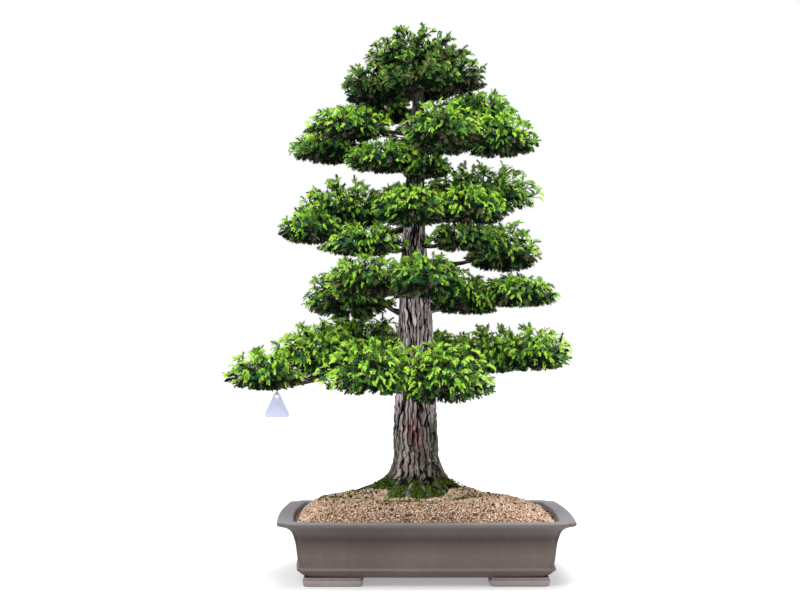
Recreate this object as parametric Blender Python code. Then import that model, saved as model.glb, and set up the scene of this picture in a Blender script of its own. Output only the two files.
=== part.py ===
"""A cryptomeria bonsai: an upright tapering trunk with tiers of clipped foliage in a long stoneware pot.

Metres, +Z up. The pot's feet stand on z = 0, and the middle of the whole plan is the origin.
Sizes below are measured from the pot's own middle; centre_on_plan moves everything at the end.
"""

import math
import random
from collections import namedtuple

import bmesh
import bpy
import numpy as np
from mathutils import Vector

CLEARANCE = 0.00045
SEED = 7

# The pot: a flared box with notched corners, a flat rim and four feet.
POT_LENGTH = 0.545
POT_DEPTH = 0.380
POT_HEIGHT = 0.121
POT_BOW = 0.004
END_BOW_SHARE = 1.75
BODY_BOTTOM = 0.016
RIM_CORNER = 0.018
BODY_CORNER = 0.010
CAVITY_CORNER = 0.020
FLOOR_TOP = 0.030
CAVITY_FLOOR_INSET = 0.046
CAVITY_WAIST_HEIGHT = 0.095
CAVITY_WAIST_INSET = 0.040
CAVITY_MOUTH_HEIGHT = 0.1195
CAVITY_EASE = 0.0015
CAVITY_MOUTH_INSET = 0.029
FOOT_OUTER = 0.228
FOOT_LENGTH = 0.113
FOOT_FRONT = 0.146
FOOT_DEPTH = 0.064
FOOT_TAPER = 0.003
FOOT_CHAMFER = 0.006
FOOT_SUNK = 0.002
DRAIN_RADIUS = 0.014
DRAIN_CUT = 0.06
DRAIN_CUT_DROP = 0.01
DRAIN_SPACING = 0.250

# The grit: a little below the wall's top along its edge, rising to a flat seat under the trunk.
SOIL_EDGE = 0.1135
SEAT_HEIGHT = 0.1497
SEAT_HALF_LENGTH = 0.178
SEAT_HALF_DEPTH = 0.104
SOIL_RINGS = 7
HEAP_STEEPNESS = 2.2
HEAP_BULGE = 0.0015
LEFT_BULGE = 0.0035

# The trunk: height, middle x and mean radius at each level, then the toes of the root flare.
TRUNK_LEVELS = (
    (0.1500, -0.0140, 0.0860),
    (0.1580, -0.0143, 0.0790),
    (0.1670, -0.0148, 0.0690),
    (0.1770, -0.0152, 0.0595),
    (0.1890, -0.0150, 0.0538),
    (0.2030, -0.0155, 0.0490),
    (0.2270, -0.0170, 0.0435),
    (0.2700, -0.0183, 0.0425),
    (0.3300, -0.0180, 0.0400),
    (0.3950, -0.0172, 0.0370),
    (0.4620, -0.0177, 0.0340),
    (0.5300, -0.0185, 0.0310),
    (0.5900, -0.0205, 0.0268),
    (0.6460, -0.0215, 0.0232),
    (0.7150, -0.0200, 0.0200),
    (0.7800, -0.0177, 0.0176),
    (0.8550, -0.0145, 0.0144),
    (0.9280, -0.0120, 0.0108),
    (0.9900, -0.0100, 0.0060),
)
TRUNK_SIDES = 18
FLARE_TOP = 0.225
FLARE_DEPTH = 0.075
FLARE_POWER = 3
TOE_WIDTH = math.radians(17)
TOES = ((4, 0.055), (52, 0.029), (104, 0.017), (143, 0.034), (184, 0.088), (238, 0.015), (300, 0.015))
FLUTE = 0.035
FLUTE_COUNT = 5

LIMB_ROUND = 1
TWIG_RADIUS = 0.0022
TWIG_END = 0.4
HEART_DROP = 0.35

# Stems: the leader on the trunk's top, then those that start in a bough's tip or in the trunk.
LEADER_SINK = 0.004
LEADER_RISE = 0.3
LEADER_RADIUS = 0.0045
STEM_SINK = 0.003
STEM_ON_BOUGH = 0.8
STEM_DROP = 0.6
STEM_RADIUS = 0.0055
STEM_ON_TRUNK = 0.4
STEM_TAPER = (1.0, 0.85, 0.6)

# The dense core of a mass, and the walls that part it from its neighbours.
CORE_SHARE = 0.83
CORE_LUMPS = 0.07
CORE_POINTS = 26
WALL_GAP = 0.0015
WALL_REACH = 0.86
SPACE_FLATNESS = 2.0

# Sprays over each mass: the plan area that each one covers, the limits on their number, how low
# they go, and where a spray's root lies as a share of the way out and of the way up.
SPRAY_CELL = 0.00080
FEWEST_SPRAYS = 7
MOST_SPRAYS = 11
LOWEST_SPRAY = -0.30
ROOT_OUT = 0.52
ROOT_UP = 0.40
UPRIGHT_LIFT = 0.92
UPRIGHT_TILT = 0.2
HIGHEST_TWIG = 0.15
SHORTEST_SPRAY = 0.95
SPRAY_WALL_GAP = 0.0006

# A spray's outline as shares of its length: along to its widest point and its shoulder, and aside.
SPRAY_WAIST = 0.62
SPRAY_SHOULDER = 0.70
SPRAY_PEAK = 0.5
SPRAY_WIDTH = 0.34
SPRAY_NOTCH = 0.15
SPRAY_THICKNESS = 0.080

# A mass of foliage: the middle of its waist, its half length and half depth there, how far it
# rises over the waist and drops under it, and the limb that carries it.
Mass = namedtuple("Mass", "x y z half_x half_y rise drop limb")
MASSES = {
    "crown_top": Mass(-0.016, 0.000, 1.000, 0.104, 0.094, 0.066, 0.030, "trunk"),
    "crown_left": Mass(-0.100, -0.005, 0.944, 0.064, 0.086, 0.051, 0.034, "trunk"),
    "crown_right": Mass(0.053, 0.000, 0.962, 0.072, 0.086, 0.060, 0.028, "trunk"),
    "crown_front": Mass(-0.012, -0.080, 0.948, 0.080, 0.064, 0.055, 0.019, "trunk"),
    "crown_back": Mass(-0.009, 0.082, 0.962, 0.082, 0.066, 0.060, 0.028, "trunk"),
    "upper_back_left": Mass(-0.085, 0.078, 0.908, 0.072, 0.066, 0.042, 0.022, "trunk"),
    "upper_left": Mass(-0.145, -0.024, 0.863, 0.090, 0.076, 0.042, 0.022, "trunk"),
    "upper_left_low": Mass(-0.184, 0.046, 0.828, 0.088, 0.078, 0.046, 0.023, "bough"),
    "upper_under": Mass(-0.075, -0.046, 0.795, 0.086, 0.064, 0.040, 0.019, "trunk"),
    "upper_front": Mass(0.034, -0.100, 0.844, 0.082, 0.074, 0.064, 0.034, "bough"),
    "upper_right": Mass(0.106, 0.050, 0.902, 0.080, 0.076, 0.048, 0.026, "trunk"),
    "upper_right_low": Mass(0.142, -0.014, 0.836, 0.080, 0.088, 0.062, 0.025, "bough"),
    "upper_back": Mass(0.022, 0.122, 0.860, 0.094, 0.080, 0.055, 0.030, "bough"),
    "middle_top": Mass(0.001, -0.050, 0.782, 0.050, 0.050, 0.028, 0.018, "trunk"),
    "middle_left": Mass(-0.157, 0.028, 0.703, 0.096, 0.090, 0.071, 0.033, "trunk"),
    "middle_left_tip": Mass(-0.215, -0.034, 0.665, 0.066, 0.066, 0.045, 0.026, "bough"),
    "middle_left_low": Mass(-0.118, -0.064, 0.634, 0.090, 0.060, 0.044, 0.020, "trunk"),
    "middle_front": Mass(-0.028, -0.110, 0.697, 0.076, 0.068, 0.047, 0.031, "trunk"),
    "middle_front_right": Mass(0.080, -0.088, 0.700, 0.078, 0.070, 0.048, 0.032, "trunk"),
    "middle_right_back": Mass(0.113, 0.070, 0.742, 0.132, 0.078, 0.068, 0.036, "bough"),
    "middle_right_low": Mass(0.076, -0.062, 0.645, 0.080, 0.052, 0.037, 0.023, "bough"),
    "middle_right_tip": Mass(0.156, 0.032, 0.622, 0.077, 0.076, 0.074, 0.033, "bough"),
    "middle_back": Mass(-0.028, 0.140, 0.735, 0.090, 0.080, 0.041, 0.028, "bough"),
    "lower_front_left": Mass(-0.112, -0.086, 0.563, 0.080, 0.070, 0.057, 0.030, "trunk"),
    "lower_front": Mass(-0.006, -0.106, 0.562, 0.078, 0.070, 0.060, 0.031, "trunk"),
    "lower_left": Mass(-0.147, 0.020, 0.532, 0.093, 0.086, 0.074, 0.036, "bough"),
    "lower_right": Mass(0.084, 0.012, 0.530, 0.084, 0.076, 0.052, 0.025, "trunk"),
    "lower_right_tip": Mass(0.178, 0.000, 0.538, 0.086, 0.070, 0.044, 0.019, "bough"),
    "lower_back": Mass(0.006, 0.140, 0.566, 0.104, 0.088, 0.058, 0.032, "bough"),
    "base_left_tip": Mass(-0.304, -0.020, 0.386, 0.086, 0.074, 0.054, 0.028, "bough"),
    "base_left": Mass(-0.205, 0.010, 0.420, 0.102, 0.098, 0.070, 0.037, "trunk"),
    "base_left_back": Mass(-0.134, 0.126, 0.452, 0.108, 0.088, 0.060, 0.030, "bough"),
    "base_front_left": Mass(-0.098, -0.130, 0.383, 0.112, 0.088, 0.079, 0.030, "bough"),
    "base_front_right": Mass(0.028, -0.130, 0.378, 0.109, 0.088, 0.081, 0.042, "bough"),
    "base_right": Mass(0.128, 0.036, 0.421, 0.080, 0.090, 0.065, 0.032, "trunk"),
    "base_right_tip": Mass(0.210, 0.010, 0.424, 0.082, 0.082, 0.061, 0.030, "bough"),
    "base_back": Mass(0.020, 0.160, 0.426, 0.106, 0.090, 0.047, 0.035, "bough"),
}

# A bough: the height where it leaves the trunk, its radius there, and how far it sags on its way.
Bough = namedtuple("Bough", "height radius sag")
BOUGHS = {
    "upper_left_low": Bough(0.834, 0.0070, 0.020),
    "upper_front": Bough(0.838, 0.0060, 0.012),
    "upper_right_low": Bough(0.840, 0.0075, 0.012),
    "upper_back": Bough(0.846, 0.0065, 0.014),
    "middle_left_tip": Bough(0.676, 0.0085, 0.022),
    "middle_right_back": Bough(0.722, 0.0080, 0.016),
    "middle_right_low": Bough(0.648, 0.0090, 0.014),
    "middle_right_tip": Bough(0.612, 0.0085, 0.018),
    "middle_back": Bough(0.712, 0.0080, 0.014),
    "lower_left": Bough(0.506, 0.0110, 0.012),
    "lower_right_tip": Bough(0.514, 0.0115, 0.010),
    "lower_back": Bough(0.552, 0.0100, 0.016),
    "base_left_tip": Bough(0.424, 0.0140, 0.006),
    "base_left_back": Bough(0.442, 0.0110, 0.014),
    "base_front_left": Bough(0.378, 0.0120, 0.016),
    "base_front_right": Bough(0.366, 0.0120, 0.016),
    "base_right_tip": Bough(0.404, 0.0130, 0.024),
    "base_back": Bough(0.420, 0.0110, 0.016),
}
BOUGH_STEPS = 6
BOUGH_TIP_SHARE = 0.42
BOUGH_TAPER = 0.8
BOUGH_BEND = 0.55
BOUGH_ENTRY = 0.84
ENTRY_DROP = 0.45
# The left bough runs on under its mass, where the tag hangs.
LOW_ENTRY = {"base_left_tip": Vector((-0.291, -0.020, 0.3615))}

TAG_X = -0.2845
TAG_TOP = 0.3520
TAG_WIDTH = 0.047
TAG_HEIGHT = 0.049
TAG_THICKNESS = 0.0016
TAG_CORNER = 0.006
LINK_RADIUS = 0.0009
LINK_SLACK = 0.0012
LINK_OVERLAP = 0.007
LINK_STEPS = 12


# ---- materials ----


def material(name, colour, roughness):
    made = bpy.data.materials.new(name)
    made.use_nodes = True
    shader = made.node_tree.nodes["Principled BSDF"]
    shader.inputs["Base Color"].default_value = (*colour, 1.0)
    shader.inputs["Roughness"].default_value = roughness
    shader.inputs["Metallic"].default_value = 0.0
    made.diffuse_color = (*colour, 1.0)
    return made


def all_materials():
    return {
        "stoneware": material("stoneware", (0.17, 0.125, 0.110), 0.62),
        "grit": material("grit", (0.55, 0.36, 0.22), 0.95),
        "bark": material("bark", (0.24, 0.18, 0.16), 0.90),
        "needles": material("needles", (0.075, 0.19, 0.025), 0.60),
        "tag_plastic": material("tag_plastic", (0.56, 0.60, 0.78), 0.35),
    }


# ---- mesh helpers ----


def mesh_object(name, mesh, finish, collection):
    mesh.materials.clear()
    mesh.materials.append(finish)
    made = bpy.data.objects.new(name, mesh)
    collection.objects.link(made)
    return made


def mesh_from(made, name):
    """The bmesh as a mesh whose faces point out."""
    bmesh.ops.recalc_face_normals(made, faces=made.faces)
    mesh = bpy.data.meshes.new(name)
    made.to_mesh(mesh)
    made.free()
    return mesh


def loft(name, rings):
    """A closed skin over rings that all have the same number of points."""
    made = bmesh.new()
    loops = [[made.verts.new(point) for point in ring] for ring in rings]
    for lower, upper in zip(loops, loops[1:]):
        for i, corner in enumerate(lower):
            j = (i + 1) % len(lower)
            made.faces.new((corner, lower[j], upper[j], upper[i]))
    made.faces.new(reversed(loops[0]))
    made.faces.new(loops[-1])
    bmesh.ops.triangulate(made, faces=[face for face in made.faces if len(face.verts) > 4])
    return mesh_from(made, name)


def limb_mesh(name, points, radii):
    """A tapering limb: a bevelled curve with filled caps, made a welded mesh."""
    curve = bpy.data.curves.new(name, "CURVE")
    curve.dimensions = "3D"
    curve.bevel_depth = 1.0
    curve.bevel_resolution = LIMB_ROUND
    curve.use_fill_caps = True
    spline = curve.splines.new("POLY")
    spline.points.add(len(points) - 1)
    for knot, place, radius in zip(spline.points, points, radii):
        knot.co = (*place, 1.0)
        knot.radius = radius
    source = bpy.data.objects.new(name, curve)
    bpy.context.scene.collection.objects.link(source)
    graph = bpy.context.evaluated_depsgraph_get()
    mesh = bpy.data.meshes.new_from_object(source.evaluated_get(graph))
    bpy.data.objects.remove(source)
    bpy.data.curves.remove(curve)
    welded = bmesh.new()
    welded.from_mesh(mesh)
    bpy.data.meshes.remove(mesh)
    bmesh.ops.remove_doubles(welded, verts=welded.verts, dist=1e-6)
    return mesh_from(welded, name)


def twig_mesh(start, end, radius):
    """A straight three-sided twig, thinner at its end."""
    made = bmesh.new()
    span = end - start
    bmesh.ops.create_cone(
        made, cap_ends=True, segments=3, radius1=radius, radius2=radius * 0.6, depth=span.length
    )
    turn = span.to_track_quat("Z", "Y").to_matrix()
    middle = (start + end) / 2
    for corner in made.verts:
        corner.co = middle + turn @ corner.co
    return mesh_from(made, "twig")


def swollen(mesh, name, distance):
    """A copy of the mesh with every point moved out along its normal."""
    made = bmesh.new()
    made.from_mesh(mesh)
    made.normal_update()
    moved = [corner.co + corner.normal * distance for corner in made.verts]
    for corner, place in zip(made.verts, moved):
        corner.co = place
    return mesh_from(made, name)


def largest_piece(mesh, name):
    """The biggest connected body of the mesh: loose scraps and sealed hollows are left out."""
    made = bmesh.new()
    made.from_mesh(mesh)
    unseen = set(made.verts)
    pieces = []
    while unseen:
        stack = [unseen.pop()]
        piece = set(stack)
        while stack:
            for edge in stack.pop().link_edges:
                for corner in edge.verts:
                    if corner in unseen:
                        unseen.discard(corner)
                        piece.add(corner)
                        stack.append(corner)
        pieces.append(piece)

    def extent(piece):
        places = np.array([corner.co for corner in piece])
        return float(np.prod(places.max(axis=0) - places.min(axis=0)))

    kept = max(pieces, key=extent)
    scraps = [corner for corner in made.verts if corner not in kept]
    bmesh.ops.delete(made, geom=scraps, context="VERTS")
    bmesh.ops.triangulate(made, faces=made.faces)
    return mesh_from(made, name)


def combined(name, first, added, removed):
    """first joined with the added meshes by one union, less the removed meshes, as one closed body."""
    whole = bpy.data.objects.new(name, first)
    bpy.context.scene.collection.objects.link(whole)
    helpers = []
    for operation, meshes in (("UNION", added), ("DIFFERENCE", removed)):
        if not meshes:
            continue
        group = bpy.data.collections.new(f"{name}_{operation}")
        bpy.context.scene.collection.children.link(group)
        for mesh in meshes:
            group.objects.link(bpy.data.objects.new(mesh.name, mesh))
        step = whole.modifiers.new(operation, "BOOLEAN")
        step.operation = operation
        step.operand_type = "COLLECTION"
        step.collection = group
        step.solver = "MANIFOLD"
        helpers.append(group)
    graph = bpy.context.evaluated_depsgraph_get()
    mesh = bpy.data.meshes.new_from_object(whole.evaluated_get(graph))
    bpy.data.objects.remove(whole)
    for group in helpers:
        for helper in list(group.objects):
            bpy.data.objects.remove(helper)
        bpy.data.collections.remove(group)
    made = largest_piece(mesh, name)
    bpy.data.meshes.remove(mesh)
    return made


def box_of(mesh):
    places = np.array([corner.co for corner in mesh.vertices])
    return places.min(axis=0), places.max(axis=0)


def near(mesh, others, margin=0.002):
    """Those of the other meshes whose boxes come near this one's."""
    low, high = box_of(mesh)
    found = []
    for other in others:
        other_low, other_high = box_of(other)
        if (other_low < high + margin).all() and (other_high > low - margin).all():
            found.append(other)
    return found


# ---- the pot and its grit ----


def corner_points(size, notched):
    """One corner of a plan outline as offsets from its square corner, from the long side round."""
    if notched:
        step = size * 0.2
        return ((size + step, 0), (size, step), (size - step, size - step), (step, size), (0, size + step))
    turns = [math.radians(angle) for angle in (0, 22.5, 45, 67.5, 90)]
    return tuple((size - size * math.sin(turn), size - size * math.cos(turn)) for turn in turns)


def plan_ring(inset, height, corner, notched, bow=POT_BOW):
    """The outline of the pot, drawn in by inset: corners joined by sides that bow outwards."""
    half_x = POT_LENGTH / 2 - inset
    half_y = POT_DEPTH / 2 - inset
    offsets = corner_points(corner, notched)
    front_right = [(half_x - across, -half_y + along) for across, along in offsets]
    back_right = [(x, -y) for x, y in reversed(front_right)]
    back_left = [(-x, -y) for x, y in front_right]
    front_left = [(-x, y) for x, y in reversed(front_right)]
    end_x = half_x + bow * END_BOW_SHARE
    ring = [*front_right, (end_x, 0), *back_right, (0, half_y + bow)]
    ring += [*back_left, (-end_x, 0), *front_left, (0, -half_y - bow)]
    return [Vector((x, y, height)) for x, y in ring]


def outer_profile():
    """The pot's outside from its underside to the rim: inset, height and corner size."""
    return (
        (0.0555, BODY_BOTTOM, 0.007),
        (0.0490, 0.0188, 0.009),
        (0.0395, 0.0268, BODY_CORNER),
        (0.0352, 0.0305, BODY_CORNER),
        (0.0356, 0.0330, BODY_CORNER),
        (0.0386, 0.0356, BODY_CORNER),
        (0.0338, 0.0720, BODY_CORNER),
        (0.0298, 0.0905, BODY_CORNER),
        (0.0262, 0.1005, 0.0115),
        (0.0205, 0.1067, 0.013),
        (0.0090, 0.1117, 0.0155),
        (0.0010, 0.1146, RIM_CORNER),
        (0.0000, 0.1185, RIM_CORNER),
        (0.0025, POT_HEIGHT, RIM_CORNER),
    )


def make_pot(finish, collection):
    rings = [plan_ring(inset, height, corner, True) for inset, height, corner in outer_profile()]
    rings.append(plan_ring(CAVITY_MOUTH_INSET - CAVITY_EASE, POT_HEIGHT, CAVITY_CORNER, False))
    rings.append(plan_ring(CAVITY_MOUTH_INSET, CAVITY_MOUTH_HEIGHT, CAVITY_CORNER, False))
    rings.append(plan_ring(CAVITY_WAIST_INSET, CAVITY_WAIST_HEIGHT, CAVITY_CORNER, False))
    rings.append(plan_ring(CAVITY_FLOOR_INSET, FLOOR_TOP, CAVITY_CORNER, False))
    shell = loft("pot", rings)
    feet = []
    holes = []
    for side in (-1, 1):
        for end in (-1, 1):
            feet.append(foot_mesh(side, end))
        holes.append(drain_mesh(side))
    return mesh_object("pot", combined("pot", shell, feet, holes), finish, collection)


def foot_mesh(side, end):
    """One foot: a block drawn in a little towards the ground, its top sunk in the pot's underside."""
    made = bmesh.new()
    bmesh.ops.create_cube(made, size=1.0)
    height = BODY_BOTTOM + FOOT_SUNK
    for corner in made.verts:
        drawn_in = FOOT_TAPER if corner.co.z < 0 else 0.0
        x = corner.co.x * (FOOT_LENGTH - 2 * drawn_in) + side * (FOOT_OUTER - FOOT_LENGTH / 2)
        y = corner.co.y * (FOOT_DEPTH - 2 * drawn_in) + end * (FOOT_FRONT - FOOT_DEPTH / 2)
        corner.co = Vector((x, y, (corner.co.z + 0.5) * height))
    upright = [edge for edge in made.edges if abs(edge.verts[0].co.z - edge.verts[1].co.z) > height / 2]
    bmesh.ops.bevel(made, geom=upright, offset=FOOT_CHAMFER, segments=1, affect="EDGES")
    return mesh_from(made, "foot")


def drain_mesh(side):
    made = bmesh.new()
    bmesh.ops.create_cone(
        made, cap_ends=True, segments=12, radius1=DRAIN_RADIUS, radius2=DRAIN_RADIUS, depth=DRAIN_CUT
    )
    for corner in made.verts:
        corner.co += Vector((side * DRAIN_SPACING / 2, 0, FLOOR_TOP - DRAIN_CUT_DROP))
    return mesh_from(made, "drain")


def soil_height(x, y, half_x, half_y):
    """The heap's height: level on the seat, then rounded down to the wall, fuller on the left."""
    seat = math.hypot((x - TRUNK_LEVELS[0][1]) / SEAT_HALF_LENGTH, y / SEAT_HALF_DEPTH)
    edge = max(abs(x) / half_x, abs(y) / half_y)
    share = (seat - 1) / (seat - 1 + (1 - edge) * HEAP_STEEPNESS)
    fullness = HEAP_BULGE + LEFT_BULGE * max(0.0, -x / half_x)
    return SEAT_HEIGHT + (SOIL_EDGE - SEAT_HEIGHT) * share + math.sin(math.pi * share) * fullness


def make_soil(finish, collection):
    """The grit fills the cavity and heaps up to a flat seat under the trunk."""
    gap = CLEARANCE
    slope = (CAVITY_WAIST_INSET - CAVITY_MOUTH_INSET) / (CAVITY_MOUTH_HEIGHT - CAVITY_WAIST_HEIGHT)
    edge_inset = CAVITY_WAIST_INSET - (SOIL_EDGE - CAVITY_WAIST_HEIGHT) * slope + gap
    rings = [
        plan_ring(CAVITY_FLOOR_INSET + gap, FLOOR_TOP + gap, CAVITY_CORNER, False),
        plan_ring(CAVITY_WAIST_INSET + gap, CAVITY_WAIST_HEIGHT, CAVITY_CORNER, False),
        plan_ring(edge_inset, SOIL_EDGE, CAVITY_CORNER, False),
    ]
    wall = rings[-1]
    seat = []
    for point in wall:
        turn = math.atan2(point.y / (POT_DEPTH / 2), point.x / (POT_LENGTH / 2))
        x = TRUNK_LEVELS[0][1] + SEAT_HALF_LENGTH * math.cos(turn)
        seat.append(Vector((x, SEAT_HALF_DEPTH * math.sin(turn), SEAT_HEIGHT)))
    half_x = POT_LENGTH / 2 - edge_inset
    half_y = POT_DEPTH / 2 - edge_inset
    for step in range(1, SOIL_RINGS):
        ring = [outer.lerp(inner, step / SOIL_RINGS) for outer, inner in zip(wall, seat)]
        for point in ring:
            point.z = soil_height(point.x, point.y, half_x, half_y)
        rings.append(ring)
    rings.append(seat)
    return mesh_object("soil", loft("soil", rings), finish, collection)


# ---- the trunk and boughs ----


def trunk_at(height):
    """The trunk's middle and mean radius at a height."""
    heights, middles, radii = zip(*TRUNK_LEVELS)
    middle = Vector((np.interp(height, heights, middles), 0.0, height))
    return middle, float(np.interp(height, heights, radii))


def trunk_reach(height, turn):
    """How far the trunk's skin lies from its middle: flutes all the way up, toes at the foot."""
    _, radius = trunk_at(height)
    reach = radius * (1 + FLUTE * math.sin(FLUTE_COUNT * turn + 2 * height))
    spread = max(0.0, (FLARE_TOP - height) / FLARE_DEPTH) ** FLARE_POWER
    for degrees, toe in TOES:
        off = math.remainder(turn - math.radians(degrees), 2 * math.pi)
        reach += toe * spread * math.exp(-((off / TOE_WIDTH) ** 2))
    return reach


def make_trunk(finish, collection):
    rings = []
    for height, middle_x, _ in TRUNK_LEVELS:
        ring = []
        for step in range(TRUNK_SIDES):
            turn = 2 * math.pi * step / TRUNK_SIDES
            reach = trunk_reach(height, turn)
            ring.append(Vector((middle_x + reach * math.cos(turn), reach * math.sin(turn), height)))
        rings.append(ring)
    return mesh_object("trunk", loft("trunk", rings), finish, collection)


def middle_of(mass):
    return Vector((mass.x, mass.y, mass.z))


def entry_of(name):
    """Where the limb that carries a mass comes into it, low on the side towards the trunk."""
    if name in LOW_ENTRY:
        return LOW_ENTRY[name]
    mass = MASSES[name]
    towards, _ = trunk_at(mass.z)
    inward = (towards - middle_of(mass)).normalized()
    reach = BOUGH_ENTRY / math.hypot(inward.x / mass.half_x, inward.y / mass.half_y)
    return middle_of(mass) + inward * reach - Vector((0, 0, mass.drop * ENTRY_DROP))


def bough_route(name):
    """Points and radii along a bough, from inside the trunk to its tip."""
    bough = BOUGHS[name]
    start, _ = trunk_at(bough.height)
    end = entry_of(name)
    bend = start.lerp(end, BOUGH_BEND) - Vector((0, 0, bough.sag))
    points = []
    radii = []
    for step in range(BOUGH_STEPS + 1):
        share = step / BOUGH_STEPS
        points.append((1 - share) ** 2 * start + 2 * share * (1 - share) * bend + share**2 * end)
        radii.append(bough.radius * (1 - (1 - BOUGH_TIP_SHARE) * share**BOUGH_TAPER))
    return points, radii


def make_bough(name, trunk, finish, collection):
    points, radii = bough_route(name)
    whole = limb_mesh(f"bough_{name}", points, radii)
    cutter = swollen(trunk.data, "trunk_cutter", CLEARANCE)
    return mesh_object(f"bough_{name}", combined(f"bough_{name}", whole, [], [cutter]), finish, collection)


# ---- the foliage ----


def stem_route(name):
    """The one stem that a mass grows from: it starts in its bough's tip or in the trunk."""
    mass = MASSES[name]
    middle = middle_of(mass)
    if name == "crown_top":
        start, _ = trunk_at(TRUNK_LEVELS[-1][0] - LEADER_SINK)
        return start, middle + Vector((0, 0, mass.rise * LEADER_RISE)), LEADER_RADIUS
    if mass.limb == "bough":
        points, radii = bough_route(name)
        start = points[-1] - (points[-1] - points[-2]).normalized() * STEM_SINK
        return start, middle, radii[-1] * STEM_ON_BOUGH
    start, radius = trunk_at(mass.z - mass.drop * STEM_DROP)
    return start, middle, min(STEM_RADIUS, radius * STEM_ON_TRUNK)


def scaled(place):
    return Vector((place.x, place.y, place.z * SPACE_FLATNESS))


def reach_towards(mass, along):
    """How far the mass's space reaches from its middle along a direction in the stretched space."""
    height = (mass.rise if along.z > 0 else mass.drop) * SPACE_FLATNESS
    shares = (along.x / mass.half_x, along.y / mass.half_y, along.z / height)
    return 1 / math.hypot(*shares)


def walls_of(name):
    """Planes between this mass and each neighbour that its space meets: (point, normal outwards)."""
    mass = MASSES[name]
    walls = []
    for other_name, other in MASSES.items():
        if other_name == name:
            continue
        span = scaled(middle_of(other)) - scaled(middle_of(mass))
        along = span.normalized()
        mine = reach_towards(mass, along)
        theirs = reach_towards(other, -along)
        if mine + theirs < span.length * WALL_REACH:
            continue
        share = mine / (mine + theirs)
        point = middle_of(mass).lerp(middle_of(other), share)
        normal = Vector((along.x, along.y, along.z * SPACE_FLATNESS)).normalized()
        walls.append((point, normal))
    return walls


def inside_walls(places, walls, margin):
    return all((place - point).dot(normal) < -margin for place in places for point, normal in walls)


def golden_spread(count, lowest, start_turn=0.0):
    """Directions spread evenly from straight up down to the lowest lift: (turn, lift) pairs."""
    golden = math.pi * (3 - math.sqrt(5))
    return [(start_turn + k * golden, 1 - (k + 0.5) / count * (1 - lowest)) for k in range(count)]


def outward(mass, turn, lift):
    """From the middle of a mass to the skin of its space."""
    spread = math.sqrt(1 - lift * lift)
    height = mass.rise if lift > 0 else mass.drop
    x = math.cos(turn) * spread * mass.half_x
    y = math.sin(turn) * spread * mass.half_y
    return Vector((x, y, lift * height))


def core_mesh(name, walls, draw):
    """The dense middle of a clipped mass: a lumpy flattened dome kept inside its walls."""
    mass = MASSES[name]
    made = bmesh.new()
    for turn, lift in golden_spread(CORE_POINTS, -1.0):
        lump = CORE_SHARE * (1 + draw.uniform(-CORE_LUMPS, CORE_LUMPS))
        made.verts.new(middle_of(mass) + outward(mass, turn, lift) * lump)
    for point, normal in walls:
        for corner in made.verts:
            past = (corner.co - point).dot(normal) + WALL_GAP
            if past > 0:
                corner.co -= normal * past
    bmesh.ops.convex_hull(made, input=made.verts)
    bmesh.ops.delete(made, geom=[corner for corner in made.verts if not corner.link_faces], context="VERTS")
    return mesh_from(made, f"core_{name}")


def spray_mesh(root, tip, up):
    """A spray of needles: a toothed blade, thickest in the middle, from its root to its tip."""
    along = tip - root
    length = along.length
    along.normalize()
    across = along.cross(up).normalized()
    over = across.cross(along)
    right_side = ((SPRAY_WAIST, SPRAY_WIDTH), (SPRAY_SHOULDER, SPRAY_NOTCH))
    left_side = [(share, -aside) for share, aside in right_side]
    made = bmesh.new()
    edge = []
    for share, aside in ((0.0, 0.0), *left_side, (1.0, 0.0), *reversed(right_side)):
        edge.append(made.verts.new(root + (along * share + across * aside) * length))
    middle = root + along * (SPRAY_PEAK * length)
    for side in (-1, 1):
        peak = made.verts.new(middle + over * (side * SPRAY_THICKNESS * length))
        for i, corner in enumerate(edge):
            following = edge[(i + 1) % len(edge)]
            made.faces.new((peak, corner, following))
    return mesh_from(made, "spray")


def segment_gap(place, start, end):
    span = end - start
    share = max(0.0, min(1.0, (place - start).dot(span) / span.length_squared))
    return (place - start - span * share).length


def touches(places, limbs, margin=0.002):
    """Whether any of the places lies in one of the limbs, given as points and radii."""
    for points, radii in limbs:
        for start, end, radius in zip(points, points[1:], radii):
            if any(segment_gap(place, start, end) < radius + margin for place in places):
                return True
    return False


def foliage_parts(name, walls, limbs, draw):
    """The twigs and sprays of one mass, spread over its space by the golden angle."""
    mass = MASSES[name]
    middle = middle_of(mass)
    count = round(mass.half_x * mass.half_y / SPRAY_CELL)
    count = max(FEWEST_SPRAYS, min(MOST_SPRAYS, count))
    parts = []
    for turn, lift in golden_spread(count, LOWEST_SPRAY, draw.uniform(0, 2 * math.pi)):
        out = outward(mass, turn, lift)
        tip = middle + out * draw.uniform(SHORTEST_SPRAY, 1.0)
        root = middle + Vector((out.x * ROOT_OUT, out.y * ROOT_OUT, out.z * ROOT_UP))
        sideways = Vector((math.sin(turn), -math.cos(turn), UPRIGHT_TILT))
        blade = spray_mesh(root, tip, sideways if lift > UPRIGHT_LIFT else Vector((0, 0, 1)))
        places = [corner.co.copy() for corner in blade.vertices]
        tested = [*places, root.lerp(tip, SPRAY_SHOULDER)]
        if not inside_walls(places, walls, SPRAY_WALL_GAP) or touches(tested, limbs):
            bpy.data.meshes.remove(blade)
            continue
        parts.append(blade)
        if lift > HIGHEST_TWIG:
            continue
        heart = middle - Vector((0, 0, mass.drop * HEART_DROP))
        twig = twig_mesh(heart, root.lerp(tip, TWIG_END), TWIG_RADIUS)
        places = [corner.co.copy() for corner in twig.vertices]
        if inside_walls(places, walls, SPRAY_WALL_GAP) and not touches(places, limbs):
            parts.append(twig)
    return parts


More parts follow.
